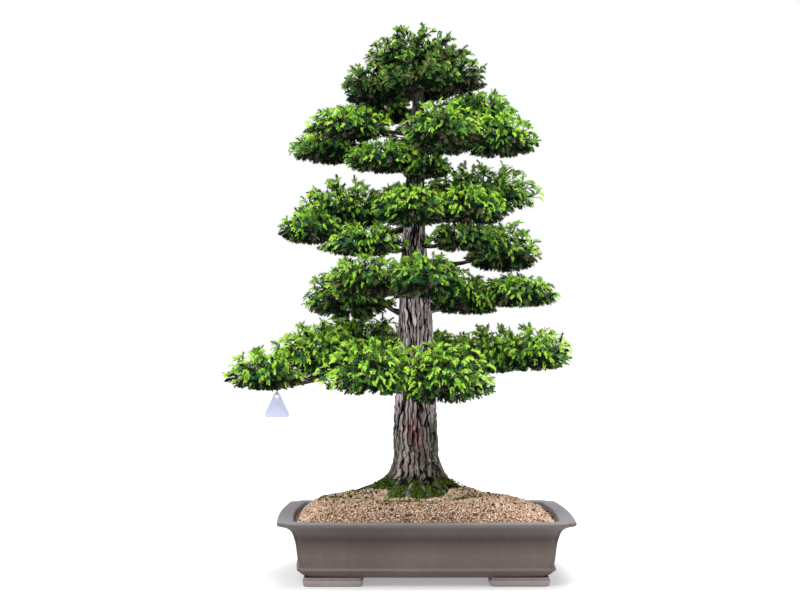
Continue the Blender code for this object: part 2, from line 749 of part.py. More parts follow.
def make_masses(limb_objects, finish, collection):
    cutters = [swollen(made.data, f"{made.name}_cutter", CLEARANCE) for made in limb_objects]
    stems = {}
    for name in MASSES:
        start, end, radius = stem_route(name)
        points = [start, start.lerp(end, 0.5), end]
        stems[name] = limb_mesh(f"stem_{name}", points, [radius * share for share in STEM_TAPER])
    limbs = [bough_route(name) for name in BOUGHS]
    trunk_line = [trunk_at(height)[0] for height, _, _ in TRUNK_LEVELS]
    limbs.append((trunk_line, [radius for _, _, radius in TRUNK_LEVELS]))
    stem_cutters = {name: swollen(stem, f"{stem.name}_cutter", CLEARANCE) for name, stem in stems.items()}
    for index, name in enumerate(MASSES):
        draw = random.Random(SEED * 1000 + index)
        walls = walls_of(name)
        core = core_mesh(name, walls, draw)
        parts = [stems[name], *foliage_parts(name, walls, limbs, draw)]
        others = [cutter for other, cutter in stem_cutters.items() if other != name]
        removed = near_all([core, *parts], [*cutters, *others])
        node = f"foliage_{name}"
        mesh_object(node, combined(node, core, parts, removed), finish, collection)


def near_all(meshes, others):
    found = {id(other): other for mesh in meshes for other in near(mesh, others)}
    return list(found.values())


# ---- the tag ----


def make_tag(finish, collection):
    """A blank triangular label on a wire loop round the tip of the left bough."""
    points, radii = bough_route("base_left_tip")
    after = next(i for i, point in enumerate(points) if point.x < TAG_X)
    share = (points[after - 1].x - TAG_X) / (points[after - 1].x - points[after].x)
    hanger = points[after - 1].lerp(points[after], share)
    limb_radius = radii[after - 1] + (radii[after] - radii[after - 1]) * share
    link_half_width = limb_radius + LINK_RADIUS + LINK_SLACK
    half = TAG_WIDTH / 2 - TAG_CORNER
    corners = ((0.0, -TAG_CORNER), (-half, TAG_CORNER - TAG_HEIGHT), (half, TAG_CORNER - TAG_HEIGHT))
    outline = []
    for turn_start, (x, z) in zip((30, 150, 270), corners):
        for step in range(4):
            turn = math.radians(turn_start + step * 40)
            outline.append((x + TAG_CORNER * math.cos(turn), z + TAG_CORNER * math.sin(turn)))
    rings = []
    for side in (-1, 1):
        y = hanger.y + side * TAG_THICKNESS / 2
        rings.append([Vector((TAG_X + x, y, TAG_TOP + z)) for x, z in outline])
    link_points = []
    top = hanger.z + limb_radius + LINK_RADIUS + CLEARANCE
    bottom = TAG_TOP - LINK_OVERLAP
    half_height = (top - bottom) / 2
    for step in range(LINK_STEPS):
        turn = 2 * math.pi * step / LINK_STEPS
        z = (top + bottom) / 2 + half_height * math.sin(turn)
        link_points.append(Vector((TAG_X, hanger.y + link_half_width * math.cos(turn), z)))
    link = loop_mesh("link", link_points, LINK_RADIUS)
    made = combined("hang_tag", loft("plate", rings), [link], [])
    return mesh_object("hang_tag", made, finish, collection)


def loop_mesh(name, points, radius):
    """A four-sided wire along a closed loop that lies in a plane across x."""
    made = bmesh.new()
    middle = sum(points, Vector()) / len(points)
    loops = []
    for index, point in enumerate(points):
        before = points[index - 1]
        after = points[(index + 1) % len(points)]
        out = Vector((1, 0, 0)).cross(after - before).normalized()
        if out.dot(point - middle) < 0:
            out.negate()
        sides = (out, Vector((1, 0, 0)), -out, Vector((-1, 0, 0)))
        loops.append([made.verts.new(point + side * radius) for side in sides])
    for index, ring in enumerate(loops):
        following = loops[(index + 1) % len(loops)]
        for i in range(4):
            j = (i + 1) % 4
            made.faces.new((ring[i], ring[j], following[j], following[i]))
    return mesh_from(made, name)


def centre_on_plan(objects):
    """Moves the whole model so that the middle of its plan is the origin."""
    boxes = [box_of(made.data) for made in objects]
    low = np.min([box[0] for box in boxes], axis=0)
    high = np.max([box[1] for box in boxes], axis=0)
    shift = Vector((-(low[0] + high[0]) / 2, -(low[1] + high[1]) / 2, -low[2]))
    for made in objects:
        made.location = shift


def main():
    for made in list(bpy.data.objects):
        bpy.data.objects.remove(made)
    finishes = all_materials()
    bonsai = bpy.data.collections.new("cryptomeria_bonsai")
    bpy.context.scene.collection.children.link(bonsai)
    make_pot(finishes["stoneware"], bonsai)
    make_soil(finishes["grit"], bonsai)
    trunk = make_trunk(finishes["bark"], bonsai)
    boughs = [make_bough(name, trunk, finishes["bark"], bonsai) for name in BOUGHS]
    tag = make_tag(finishes["tag_plastic"], bonsai)
    make_masses([trunk, *boughs, tag], finishes["needles"], bonsai)
    centre_on_plan(list(bonsai.objects))
    bpy.context.view_layer.update()


main()
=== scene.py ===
"""The looks of a cryptomeria bonsai in a stoneware pot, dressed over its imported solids.

Metres. Plant and pot are worked out from the pot's own middle, as in the part's source, and array_mesh()
moves them to the frame. Masses, boughs and trunk follow the source's tables and rules.
"""

import math
from collections import namedtuple

import bpy
import numpy as np
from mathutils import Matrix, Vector


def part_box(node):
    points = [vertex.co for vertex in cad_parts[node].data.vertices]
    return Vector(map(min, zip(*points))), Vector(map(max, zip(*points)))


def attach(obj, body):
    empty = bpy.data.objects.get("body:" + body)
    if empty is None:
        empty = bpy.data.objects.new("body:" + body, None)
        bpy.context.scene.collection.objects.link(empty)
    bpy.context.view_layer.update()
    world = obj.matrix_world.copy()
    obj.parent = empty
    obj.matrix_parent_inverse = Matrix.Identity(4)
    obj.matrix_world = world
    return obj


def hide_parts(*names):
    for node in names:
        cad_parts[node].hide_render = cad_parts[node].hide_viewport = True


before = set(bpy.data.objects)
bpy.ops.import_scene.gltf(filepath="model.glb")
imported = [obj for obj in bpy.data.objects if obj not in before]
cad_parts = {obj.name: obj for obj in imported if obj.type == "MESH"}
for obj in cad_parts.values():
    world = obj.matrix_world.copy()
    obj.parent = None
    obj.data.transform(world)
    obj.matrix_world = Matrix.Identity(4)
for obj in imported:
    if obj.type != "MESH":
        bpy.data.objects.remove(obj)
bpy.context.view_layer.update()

SEED = 7
POT_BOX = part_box("pot")
POT_MIDDLE = np.array([(POT_BOX[0][0] + POT_BOX[1][0]) / 2, (POT_BOX[0][1] + POT_BOX[1][1]) / 2, 0.0])
GOLDEN_TURN = math.pi * (3 - math.sqrt(5))
UP = np.array([0.0, 0.0, 1.0])

# ---- the source's tables ----

# The trunk's levels, as height, the middle's x and radius.
TRUNK_LEVELS = (
    (0.1500, -0.0140, 0.0860),
    (0.1580, -0.0143, 0.0790),
    (0.1670, -0.0148, 0.0690),
    (0.1770, -0.0152, 0.0595),
    (0.1890, -0.0150, 0.0538),
    (0.2030, -0.0155, 0.0490),
    (0.2270, -0.0170, 0.0435),
    (0.2700, -0.0183, 0.0425),
    (0.3300, -0.0180, 0.0400),
    (0.3950, -0.0172, 0.0370),
    (0.4620, -0.0177, 0.0340),
    (0.5300, -0.0185, 0.0310),
    (0.5900, -0.0205, 0.0268),
    (0.6460, -0.0215, 0.0232),
    (0.7150, -0.0200, 0.0200),
    (0.7800, -0.0177, 0.0176),
    (0.8550, -0.0145, 0.0144),
    (0.9280, -0.0120, 0.0108),
    (0.9900, -0.0100, 0.0060),
)
TRUNK_FOOT, TRUNK_X = TRUNK_LEVELS[0][:2]
TRUNK_TOP = TRUNK_LEVELS[-1][0]
FLARE_TOP = 0.225
FLARE_DEPTH = 0.075
FLARE_POWER = 3
TOE_WIDTH = math.radians(17)

# Toes of the flare, as degree round the trunk and reach.
TOES = ((4, 0.055), (52, 0.029), (104, 0.017), (143, 0.034), (184, 0.088), (238, 0.015), (300, 0.015))

FLUTE = 0.035
FLUTE_COUNT = 5

Mass = namedtuple("Mass", "x y z half_x half_y rise drop limb")
MASSES = {
    "crown_top": Mass(-0.016, 0.000, 1.000, 0.104, 0.094, 0.066, 0.030, "trunk"),
    "crown_left": Mass(-0.100, -0.005, 0.944, 0.064, 0.086, 0.051, 0.034, "trunk"),
    "crown_right": Mass(0.053, 0.000, 0.962, 0.072, 0.086, 0.060, 0.028, "trunk"),
    "crown_front": Mass(-0.012, -0.080, 0.948, 0.080, 0.064, 0.055, 0.019, "trunk"),
    "crown_back": Mass(-0.009, 0.082, 0.962, 0.082, 0.066, 0.060, 0.028, "trunk"),
    "upper_back_left": Mass(-0.085, 0.078, 0.908, 0.072, 0.066, 0.042, 0.022, "trunk"),
    "upper_left": Mass(-0.145, -0.024, 0.863, 0.090, 0.076, 0.042, 0.022, "trunk"),
    "upper_left_low": Mass(-0.184, 0.046, 0.828, 0.088, 0.078, 0.046, 0.023, "bough"),
    "upper_under": Mass(-0.075, -0.046, 0.795, 0.086, 0.064, 0.040, 0.019, "trunk"),
    "upper_front": Mass(0.034, -0.100, 0.844, 0.082, 0.074, 0.064, 0.034, "bough"),
    "upper_right": Mass(0.106, 0.050, 0.902, 0.080, 0.076, 0.048, 0.026, "trunk"),
    "upper_right_low": Mass(0.142, -0.014, 0.836, 0.080, 0.088, 0.062, 0.025, "bough"),
    "upper_back": Mass(0.022, 0.122, 0.860, 0.094, 0.080, 0.055, 0.030, "bough"),
    "middle_top": Mass(0.001, -0.050, 0.782, 0.050, 0.050, 0.028, 0.018, "trunk"),
    "middle_left": Mass(-0.157, 0.028, 0.703, 0.096, 0.090, 0.071, 0.033, "trunk"),
    "middle_left_tip": Mass(-0.215, -0.034, 0.665, 0.066, 0.066, 0.045, 0.026, "bough"),
    "middle_left_low": Mass(-0.118, -0.064, 0.634, 0.090, 0.060, 0.044, 0.020, "trunk"),
    "middle_front": Mass(-0.028, -0.110, 0.697, 0.076, 0.068, 0.047, 0.031, "trunk"),
    "middle_front_right": Mass(0.080, -0.088, 0.700, 0.078, 0.070, 0.048, 0.032, "trunk"),
    "middle_right_back": Mass(0.113, 0.070, 0.742, 0.132, 0.078, 0.068, 0.036, "bough"),
    "middle_right_low": Mass(0.076, -0.062, 0.645, 0.080, 0.052, 0.037, 0.023, "bough"),
    "middle_right_tip": Mass(0.156, 0.032, 0.622, 0.077, 0.076, 0.074, 0.033, "bough"),
    "middle_back": Mass(-0.028, 0.140, 0.735, 0.090, 0.080, 0.041, 0.028, "bough"),
    "lower_front_left": Mass(-0.112, -0.086, 0.563, 0.080, 0.070, 0.057, 0.030, "trunk"),
    "lower_front": Mass(-0.006, -0.106, 0.562, 0.078, 0.070, 0.060, 0.031, "trunk"),
    "lower_left": Mass(-0.147, 0.020, 0.532, 0.093, 0.086, 0.074, 0.036, "bough"),
    "lower_right": Mass(0.084, 0.012, 0.530, 0.084, 0.076, 0.052, 0.025, "trunk"),
    "lower_right_tip": Mass(0.178, 0.000, 0.538, 0.086, 0.070, 0.044, 0.019, "bough"),
    "lower_back": Mass(0.006, 0.140, 0.566, 0.104, 0.088, 0.058, 0.032, "bough"),
    "base_left_tip": Mass(-0.304, -0.020, 0.386, 0.086, 0.074, 0.054, 0.028, "bough"),
    "base_left": Mass(-0.205, 0.010, 0.420, 0.102, 0.098, 0.070, 0.037, "trunk"),
    "base_left_back": Mass(-0.134, 0.126, 0.452, 0.108, 0.088, 0.060, 0.030, "bough"),
    "base_front_left": Mass(-0.098, -0.130, 0.383, 0.112, 0.088, 0.079, 0.030, "bough"),
    "base_front_right": Mass(0.028, -0.130, 0.378, 0.109, 0.088, 0.081, 0.042, "bough"),
    "base_right": Mass(0.128, 0.036, 0.421, 0.080, 0.090, 0.065, 0.032, "trunk"),
    "base_right_tip": Mass(0.210, 0.010, 0.424, 0.082, 0.082, 0.061, 0.030, "bough"),
    "base_back": Mass(0.020, 0.160, 0.426, 0.106, 0.090, 0.047, 0.035, "bough"),
}

Bough = namedtuple("Bough", "height radius sag")
BOUGHS = {
    "upper_left_low": Bough(0.834, 0.0070, 0.020),
    "upper_front": Bough(0.838, 0.0060, 0.012),
    "upper_right_low": Bough(0.840, 0.0075, 0.012),
    "upper_back": Bough(0.846, 0.0065, 0.014),
    "middle_left_tip": Bough(0.676, 0.0085, 0.022),
    "middle_right_back": Bough(0.722, 0.0080, 0.016),
    "middle_right_low": Bough(0.648, 0.0090, 0.014),
    "middle_right_tip": Bough(0.612, 0.0085, 0.018),
    "middle_back": Bough(0.712, 0.0080, 0.014),
    "lower_left": Bough(0.506, 0.0110, 0.012),
    "lower_right_tip": Bough(0.514, 0.0115, 0.010),
    "lower_back": Bough(0.552, 0.0100, 0.016),
    "base_left_tip": Bough(0.424, 0.0140, 0.006),
    "base_left_back": Bough(0.442, 0.0110, 0.014),
    "base_front_left": Bough(0.378, 0.0120, 0.016),
    "base_front_right": Bough(0.366, 0.0120, 0.016),
    "base_right_tip": Bough(0.404, 0.0130, 0.024),
    "base_back": Bough(0.420, 0.0110, 0.016),
}
BOUGH_TIP_SHARE = 0.42
BOUGH_TAPER = 0.8
BOUGH_BEND = 0.55
BOUGH_ENTRY = 0.84
ENTRY_DROP = 0.45
LOW_ENTRY = {"base_left_tip": np.array([-0.291, -0.020, 0.3615])}
SPACE_FLATNESS = 2.0
TIERS = ("crown", "upper", "middle", "lower", "base")


# ---- materials ----

# The output that a node is read by, where it isn't the first.
MAIN_OUTPUT = {"ShaderNodeMix": 2, "ShaderNodeAttribute": "Fac"}


def node_material(name, roughness, shine):
    """A new material, its node tree and its shader."""
    made = bpy.data.materials.new(name)
    made.use_nodes = True
    shader = made.node_tree.nodes["Principled BSDF"]
    shader.inputs["Roughness"].default_value = roughness
    shader.inputs["Specular IOR Level"].default_value = shine
    return made, made.node_tree, shader


def output_of(source):
    """A node's main output, or the one that a (node, output) pair names."""
    if isinstance(source, tuple):
        return source[0].outputs[source[1]]
    return source.outputs[MAIN_OUTPUT.get(source.bl_idname, 0)]


def add_node(tree, kind, settings=None, links=None):
    """A node of this kind; settings go to its sockets or properties, links take a node or a pair."""
    node = tree.nodes.new(f"ShaderNode{kind}")
    for key, value in (settings or {}).items():
        if key in node.inputs:
            node.inputs[key].default_value = value
        else:
            setattr(node, key, value)
    for key, source in (links or {}).items():
        tree.links.new(output_of(source), node.inputs[key])
    return node


def ramp(tree, source, stops):
    """A colour ramp over a node's value; stops are (position, colour)."""
    node = add_node(tree, "ValToRGB", links={"Fac": source})
    elements = node.color_ramp.elements
    for _ in stops[2:]:
        elements.new(0.5)
    for element, (position, colour) in zip(elements, stops):
        element.position = position
        element.color = (*colour, 1.0)
    return node


def noise(tree, scale, detail=4.0, roughness=0.55, stretch=(1, 1, 1)):
    """Noise over the object's own coordinates, stretched along each axis."""
    place = add_node(tree, "TexCoord")
    mapping = add_node(tree, "Mapping", {"Scale": stretch}, {"Vector": (place, "Object")})
    settings = {"Scale": scale, "Detail": detail, "Roughness": roughness}
    return add_node(tree, "TexNoise", settings, {"Vector": mapping})


def mixed(tree, factor, first, second, blend="MIX"):
    """Two colours mixed by a factor; each of the three is a node or a plain value."""
    mix = add_node(tree, "Mix", {"data_type": "RGBA", "blend_type": blend})
    for socket, value in ((mix.inputs[0], factor), (mix.inputs[6], first), (mix.inputs[7], second)):
        if isinstance(value, bpy.types.Node):
            tree.links.new(output_of(value), socket)
        else:
            socket.default_value = (*value, 1.0) if isinstance(value, tuple) else value
    return mix


def times(tree, first, second):
    return mixed(tree, 1.0, first, second, "MULTIPLY")


def coat(tree, shader, source):
    tree.links.new(output_of(source), shader.inputs["Base Color"])


def add_bump(tree, shader, height, strength, distance):
    bump = add_node(tree, "Bump", {"Strength": strength, "Distance": distance}, {"Height": height})
    tree.links.new(bump.outputs["Normal"], shader.inputs["Normal"])


def vary_roughness(tree, shader, source, low, high):
    spread = add_node(tree, "MapRange", {"To Min": low, "To Max": high}, {"Value": source})
    tree.links.new(spread.outputs["Result"], shader.inputs["Roughness"])


def two_tone(name, dark, light, roughness=0.92, shine=0.15, scale=420.0, detail=3.0, bump=(0.5, 0.0008)):
    """A material that drifts from dark to light, with bumps (strength, depth) of the same grain."""
    made, tree, shader = node_material(name, roughness, shine)
    grain = noise(tree, scale, detail)
    coat(tree, shader, ramp(tree, grain, ((0.30, dark), (0.70, light))))
    if bump:
        add_bump(tree, shader, grain, *bump)
    return made


# Young shoots from yellow to green, then older needles, then the dull ones inside and on the apex; the
# near-black shade tone is painted shade.
NEEDLE_TONES = {
    "lime": (0.570, 0.840, 0.110),
    "bright": (0.390, 0.700, 0.068),
    "fresh": (0.275, 0.545, 0.056),
    "leaf": (0.165, 0.380, 0.050),
    "olive": (0.180, 0.230, 0.065),
    "deep": (0.088, 0.200, 0.046),
    "blue": (0.050, 0.165, 0.085),
    "shade": (0.006, 0.017, 0.007),
    "rust": (0.120, 0.094, 0.066),
}
TONE_NAMES = list(NEEDLE_TONES)
TWIG_TONES = ((0.014, 0.010, 0.008), (0.070, 0.052, 0.043))
TAG_TONES = ((0.50, 0.55, 0.74), (0.60, 0.64, 0.80))
WIRE_TONES = ((0.020, 0.018, 0.017), (0.060, 0.055, 0.052))
DULL_TONES = ("deep", "blue", "shade", "rust")
NEEDLE_SHINE = 0.25
DULL_SHINE = 0.06
NEEDLE_ROUGHNESS = 0.52
MOSS_ROUGHNESS = 0.7
ROUGHNESS_SPREAD = (-0.10, 0.14)


def needle_material(name, colour, roughness, shine):
    """A plain colour with a waxy sheen that varies from needle to needle."""
    made, tree, shader = node_material(name, roughness, shine)
    shader.inputs["Base Color"].default_value = (*colour, 1.0)
    low, high = (roughness + off for off in ROUGHNESS_SPREAD)
    vary_roughness(tree, shader, noise(tree, 260.0, 2.0), low, high)
    return made


def needle_materials():
    made = []
    for name, colour in NEEDLE_TONES.items():
        shine = DULL_SHINE if name in DULL_TONES else NEEDLE_SHINE
        made.append(needle_material(f"needles_{name}", colour, NEEDLE_ROUGHNESS, shine))
    return made


def bark_material():
    """Fibrous grey-brown bark: attributes of the mesh say where it is fissured, red, mossy or pale."""
    made, tree, shader = node_material("bark", 0.88, 0.08)
    fibre = noise(tree, 1.0, 6.0, 0.70, (520, 520, 26))
    fleck = noise(tree, 1.0, 4.0, 0.65, (300, 300, 160))
    carried = {}
    for name in ("relief", "plate", "low", "red", "lichen", "moss"):
        carried[name] = add_node(tree, "Attribute", {"attribute_name": name})
    # The relief sets the colour: near black in the fissures and lightest on the plates' backs. This is
    # partly the bark's own colour, partly painted shade in the fissures and painted highlight on the backs.
    body = ramp(tree, carried["relief"], (
        (0.23, (0.002, 0.002, 0.002)),
        (0.38, (0.110, 0.088, 0.082)),
        (0.50, (0.640, 0.552, 0.545)),
        (0.64, (1.250, 1.190, 1.220)),
    ))
    streak = ramp(tree, fibre, (
        (0.36, (0.20, 0.17, 0.16)),
        (0.50, (0.80, 0.78, 0.77)),
        (0.66, (1.10, 1.10, 1.10)),
    ))
    varied = ramp(tree, carried["plate"], ((0.20, (0.36, 0.29, 0.28)), (1.0, (1.30, 1.30, 1.36))))
    tinted = times(tree, times(tree, body, streak), varied)
    lower = mixed(tree, carried["low"], tinted, times(tree, tinted, (0.25, 0.275, 0.24)))
    warmed = mixed(tree, carried["red"], lower, times(tree, tinted, (0.62, 0.33, 0.34)))
    crust = ramp(tree, fleck, ((0.40, (0.070, 0.076, 0.036)), (0.60, (0.560, 0.600, 0.430))))
    pale = mixed(tree, carried["lichen"], warmed, crust)
    green = ramp(tree, fleck, ((0.42, (0.008, 0.014, 0.004)), (0.60, (0.150, 0.260, 0.024))))
    coat(tree, shader, mixed(tree, carried["moss"], pale, green))
    add_bump(tree, shader, fibre, 0.8, 0.0020)
    return made


# How light the clay is, from the feet (0) to the rim (1) of the pot: painted shade in the cove under the lip
# and below the raised line, and a painted highlight on the raised line. The much paler feet are partly their
# own colour and partly painted light.
CLAY_TONE_AND_LIGHT_BANDS = (
    (0.125, (2.40, 2.60, 2.85)),
    (0.145, (0.78, 0.78, 0.80)),
    (0.250, (0.84, 0.84, 0.85)),
    (0.278, (1.35, 1.30, 1.28)),
    (0.300, (0.92, 0.90, 0.89)),
    (0.480, (0.95, 0.92, 0.90)),
    (0.640, (0.66, 0.64, 0.63)),
    (0.740, (0.36, 0.35, 0.35)),
    (0.810, (0.64, 0.63, 0.64)),
    (0.930, (0.96, 0.96, 0.97)),
)


def stoneware_material():
    """Dull brown clay, brushed upright; painted light makes it greyer and paler where it faces up, and
    lighter and darker in bands by height.
    """
    made, tree, shader = node_material("stoneware", 0.60, 0.32)
    cloud = noise(tree, 1.0, 5.0, stretch=(5, 5, 3))
    brush = noise(tree, 1.0, 4.0, 0.6, (150, 150, 9))
    speck = noise(tree, 900.0, 2.0)
    body = ramp(tree, cloud, ((0.30, (0.092, 0.070, 0.063)), (0.70, (0.138, 0.107, 0.098))))
    strokes = ramp(tree, brush, ((0.30, (0.93, 0.93, 0.93)), (0.70, (1.06, 1.06, 1.06))))
    dots = ramp(tree, speck, ((0.28, (0.72, 0.70, 0.68)), (0.42, (1.0, 1.0, 1.0))))
    fired = times(tree, times(tree, body, strokes), dots)
    place = add_node(tree, "TexCoord")
    level = add_node(tree, "SeparateXYZ", links={"Vector": (place, "Object")})
    share = add_node(tree, "MapRange", {"From Max": POT_HEIGHT}, {"Value": (level, "Z")})
    toned_and_lit = times(tree, fired, ramp(tree, share, CLAY_TONE_AND_LIGHT_BANDS))
    # Painted top light: faces that point up are mixed towards a paler grey.
    facing = add_node(tree, "NewGeometry")
    parts = add_node(tree, "SeparateXYZ", links={"Vector": (facing, "Normal")})
    top_light_share = add_node(tree, "MapRange", {"From Min": 0.35, "From Max": 0.98}, {"Value": (parts, "Z")})
    coat(tree, shader, mixed(tree, top_light_share, toned_and_lit, times(tree, dots, (0.162, 0.157, 0.166))))
    vary_roughness(tree, shader, cloud, 0.50, 0.74)
    add_bump(tree, shader, brush, 0.30, 0.0012)
    return made


def floor_material():
    """White far off, a light grey round the pot, so that less light comes back from below."""
    made, tree, shader = node_material("pale_floor", 0.9, 0.1)
    place = add_node(tree, "TexCoord")
    distance = add_node(tree, "VectorMath", {"operation": "LENGTH"}, {"Vector": (place, "Object")})
    share = add_node(tree, "MapRange", {"From Min": 0.9, "From Max": 2.6}, {"Value": (distance, "Value")})
    coat(tree, shader, ramp(tree, share, ((0.0, (0.62, 0.62, 0.62)), (1.0, (0.95, 0.95, 0.95)))))
    shader.inputs["Emission Color"].default_value = (1.0, 1.0, 1.0, 1.0)
    shader.inputs["Emission Strength"].default_value = 0.30
    return made


# ---- arrays to meshes ----


def unit(vectors):
    return vectors / np.maximum(np.linalg.norm(vectors, axis=-1, keepdims=True), 1e-9)


def clamp(values):
    return np.clip(values, 0, 1)


def turns(count):
    return np.linspace(0, math.tau, count, endpoint=False)


def array_mesh(points, triangles, tones=None, smooth=False):
    """A mesh from arrays, moved from the pot's middle to the frame."""
    mesh = bpy.data.meshes.new("skin")
    points = (np.asarray(points, np.float64).reshape(-1, 3) + POT_MIDDLE).astype(np.float32)
    triangles = np.asarray(triangles, np.int32).reshape(-1, 3)
    mesh.vertices.add(len(points))
    mesh.vertices.foreach_set("co", points.ravel())
    mesh.loops.add(len(triangles) * 3)
    mesh.loops.foreach_set("vertex_index", triangles.ravel())
    mesh.polygons.add(len(triangles))
    mesh.polygons.foreach_set("loop_start", np.arange(len(triangles), dtype=np.int32) * 3)
    if tones is not None:
        mesh.polygons.foreach_set("material_index", np.asarray(tones, np.int32))
    mesh.polygons.foreach_set("use_smooth", np.full(len(triangles), smooth))
    mesh.update(calc_edges=True)
    return mesh


def show(name, mesh, materials, nodes):
    """Links a piece, dresses it, hangs it from the root and hides the parts that it stands for."""
    mesh.name = name
    piece = bpy.data.objects.new(name, mesh)
    for finish in materials:
        mesh.materials.append(finish)
    bpy.context.scene.collection.objects.link(piece)
    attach(piece, "root")
    if nodes:
        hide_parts(*nodes)
    return piece


def grid_triangles(rows, columns, first=0):
    """Two triangles for each cell of a grid of points that closes on itself round its columns."""
    row, column = np.meshgrid(np.arange(rows - 1), np.arange(columns), indexing="ij")
    here = first + row * columns + column
    beside = first + row * columns + (column + 1) % columns
    quads = np.stack([here, beside, beside + columns, here + columns], -1).reshape(-1, 4)
    return np.concatenate([quads[:, [0, 1, 2]], quads[:, [0, 2, 3]]])


def capped_triangles(rows, columns):
    """The faces of such a grid, and a fan from each end to one of the two points that follow it."""
    column = np.arange(columns)
    beside = (column + 1) % columns
    last = rows * columns
    above = last - columns
    low_cap = np.stack([np.full_like(column, last), beside, column], -1)
    high_cap = np.stack([np.full_like(column, last + 1), above + column, above + beside], -1)
    return np.concatenate([grid_triangles(rows, columns), low_cap, high_cap])


def repeated(faces, count, points_each):
    """The same faces for each of count bits that hold points_each points."""
    return (np.array(faces)[None] + (np.arange(count) * points_each)[:, None, None]).reshape(-1, 3)


def rings_mesh(rings):
    """A closed skin over rings of points, with a fan of faces over each end."""
    points = np.concatenate([*rings, [rings[0].mean(axis=0)], [rings[-1].mean(axis=0)]])
    return array_mesh(points, capped_triangles(len(rings), len(rings[0])), smooth=True)


def bored(piece, sides, radius, length, place, rotation, sharp):
    """Cuts a round hole through a piece and marks its edges sharp from this many degrees."""
    bpy.ops.mesh.primitive_cylinder_add(vertices=sides, radius=radius, depth=length, rotation=rotation)
    cutter = bpy.context.object
    cutter.location = Vector(POT_MIDDLE) + Vector(place)
    cut = piece.modifiers.new("hole", "BOOLEAN")
    cut.operation = "DIFFERENCE"
    cut.object = cutter
    bpy.context.view_layer.update()
    mesh = bpy.data.meshes.new_from_object(piece.evaluated_get(bpy.context.evaluated_depsgraph_get()))
    piece.modifiers.clear()
    piece.data = mesh
    bpy.data.objects.remove(cutter)
    mesh.set_sharp_from_angle(angle=math.radians(sharp))


# ---- the trunk and boughs, by the source's rule ----


def bump_at(turn, degrees, width):
    """1 at this many degrees round the trunk, falling away within the width."""
    off = np.remainder(turn - math.radians(degrees) + math.pi, math.tau) - math.pi
    return np.exp(-((off / width) ** 2))


def bent(start, bend, end, share):
    """The place at this share of a curve from start to end that is drawn towards the bend."""
    return (1 - share) ** 2 * start + 2 * share * (1 - share) * bend + share**2 * end


def trunk_at(height):
    """The trunk's middle and radius at each height."""
    heights, middles, radii = (np.array(column) for column in zip(*TRUNK_LEVELS))
    height = np.asarray(height, float)
    middle = np.stack([np.interp(height, heights, middles), np.zeros_like(height), height], -1)
    return middle, np.interp(height, heights, radii)


def trunk_reach(height, turn):
    """How far the trunk reaches from its middle, flutes and root flare with it."""
    _, radius = trunk_at(height)
    reach = radius * (1 + FLUTE * np.sin(FLUTE_COUNT * turn + 2 * height))
    spread = np.maximum(0.0, (FLARE_TOP - height) / FLARE_DEPTH) ** FLARE_POWER
    for degrees, toe in TOES:
        reach = reach + toe * spread * bump_at(turn, degrees, TOE_WIDTH)
    return reach


def round_trunk(reach, turn):
    """x and y at this reach from the trunk's foot."""
    return TRUNK_X + reach * np.cos(turn), reach * np.sin(turn)


def middle_of(mass):
    return np.array([mass.x, mass.y, mass.z])


def height_of(mass, lift):
    """The mass's half height on the side that a lift points to."""
    return mass.rise if lift > 0 else mass.drop


def entry_of(name):
    """Where a bough runs into its mass."""
    if name in LOW_ENTRY:
        return LOW_ENTRY[name]
    mass = MASSES[name]
    inward = unit(trunk_at(mass.z)[0] - middle_of(mass))
    reach = BOUGH_ENTRY / math.hypot(inward[0] / mass.half_x, inward[1] / mass.half_y)
    return middle_of(mass) + inward * reach - UP * mass.drop * ENTRY_DROP


def bough_route(name, steps):
    """The points and radii of a bough from the trunk's middle to its mass."""
    bough = BOUGHS[name]
    start = trunk_at(bough.height)[0]
    end = entry_of(name)
    bend = start + (end - start) * BOUGH_BEND - UP * bough.sag
    share = np.linspace(0, 1, steps + 1)[:, None]
    radii = bough.radius * (1 - (1 - BOUGH_TIP_SHARE) * share[:, 0] ** BOUGH_TAPER)
    return bent(start, bend, end, share), radii


def stem_route(name):
    """The start, end and radius of a mass's own stem."""
    mass = MASSES[name]
    middle = middle_of(mass)
    if name == "crown_top":
        return trunk_at(TRUNK_TOP - 0.004)[0], middle + UP * mass.rise * 0.3, 0.0045
    if mass.limb == "bough":
        points, radii = bough_route(name, 6)
        return points[-1], middle, radii[-1] * 0.8
    start, radius = trunk_at(mass.z - mass.drop * 0.6)
    return start, middle, min(0.0055, float(radius) * 0.4)


def lattice_noise(u, v, cells_u, cells_v, seed):
    """Smooth noise from 0 to 1; it repeats after cells_u cells of u, so that it closes round a limb."""
    table = np.random.default_rng(seed).random((cells_u, cells_v + 2))
    column = np.floor(u).astype(int)
    row = np.clip(np.floor(v).astype(int), 0, cells_v)
    across = u - column
    along = clamp(v - row)
    across = across * across * (3 - 2 * across)
    along = along * along * (3 - 2 * along)
    left = column % cells_u
    right = (column + 1) % cells_u
    lower = table[left, row] * (1 - across) + table[right, row] * across
    upper = table[left, row + 1] * (1 - across) + table[right, row + 1] * across
    return lower * (1 - along) + upper * along


def stem_noise(turn, length, cells, cell_length, seed, rows=None):
    """Lattice noise round and up a stem: so many cells round it, each of this length."""
    rows = rows or int(length.max() / cell_length) + 2
    return lattice_noise(turn / math.tau * cells, length / cell_length, cells, rows, seed)


# ---- bark ----

SWAY_LENGTH = 0.060
WIGGLE_LENGTH = 0.012
SIDE_GAP = 0.28
END_GAP = 0.07
CRACK_SWAY_LENGTH = 0.014
CRACK_SPACING = 0.20
FRAY_LENGTH = 0.010


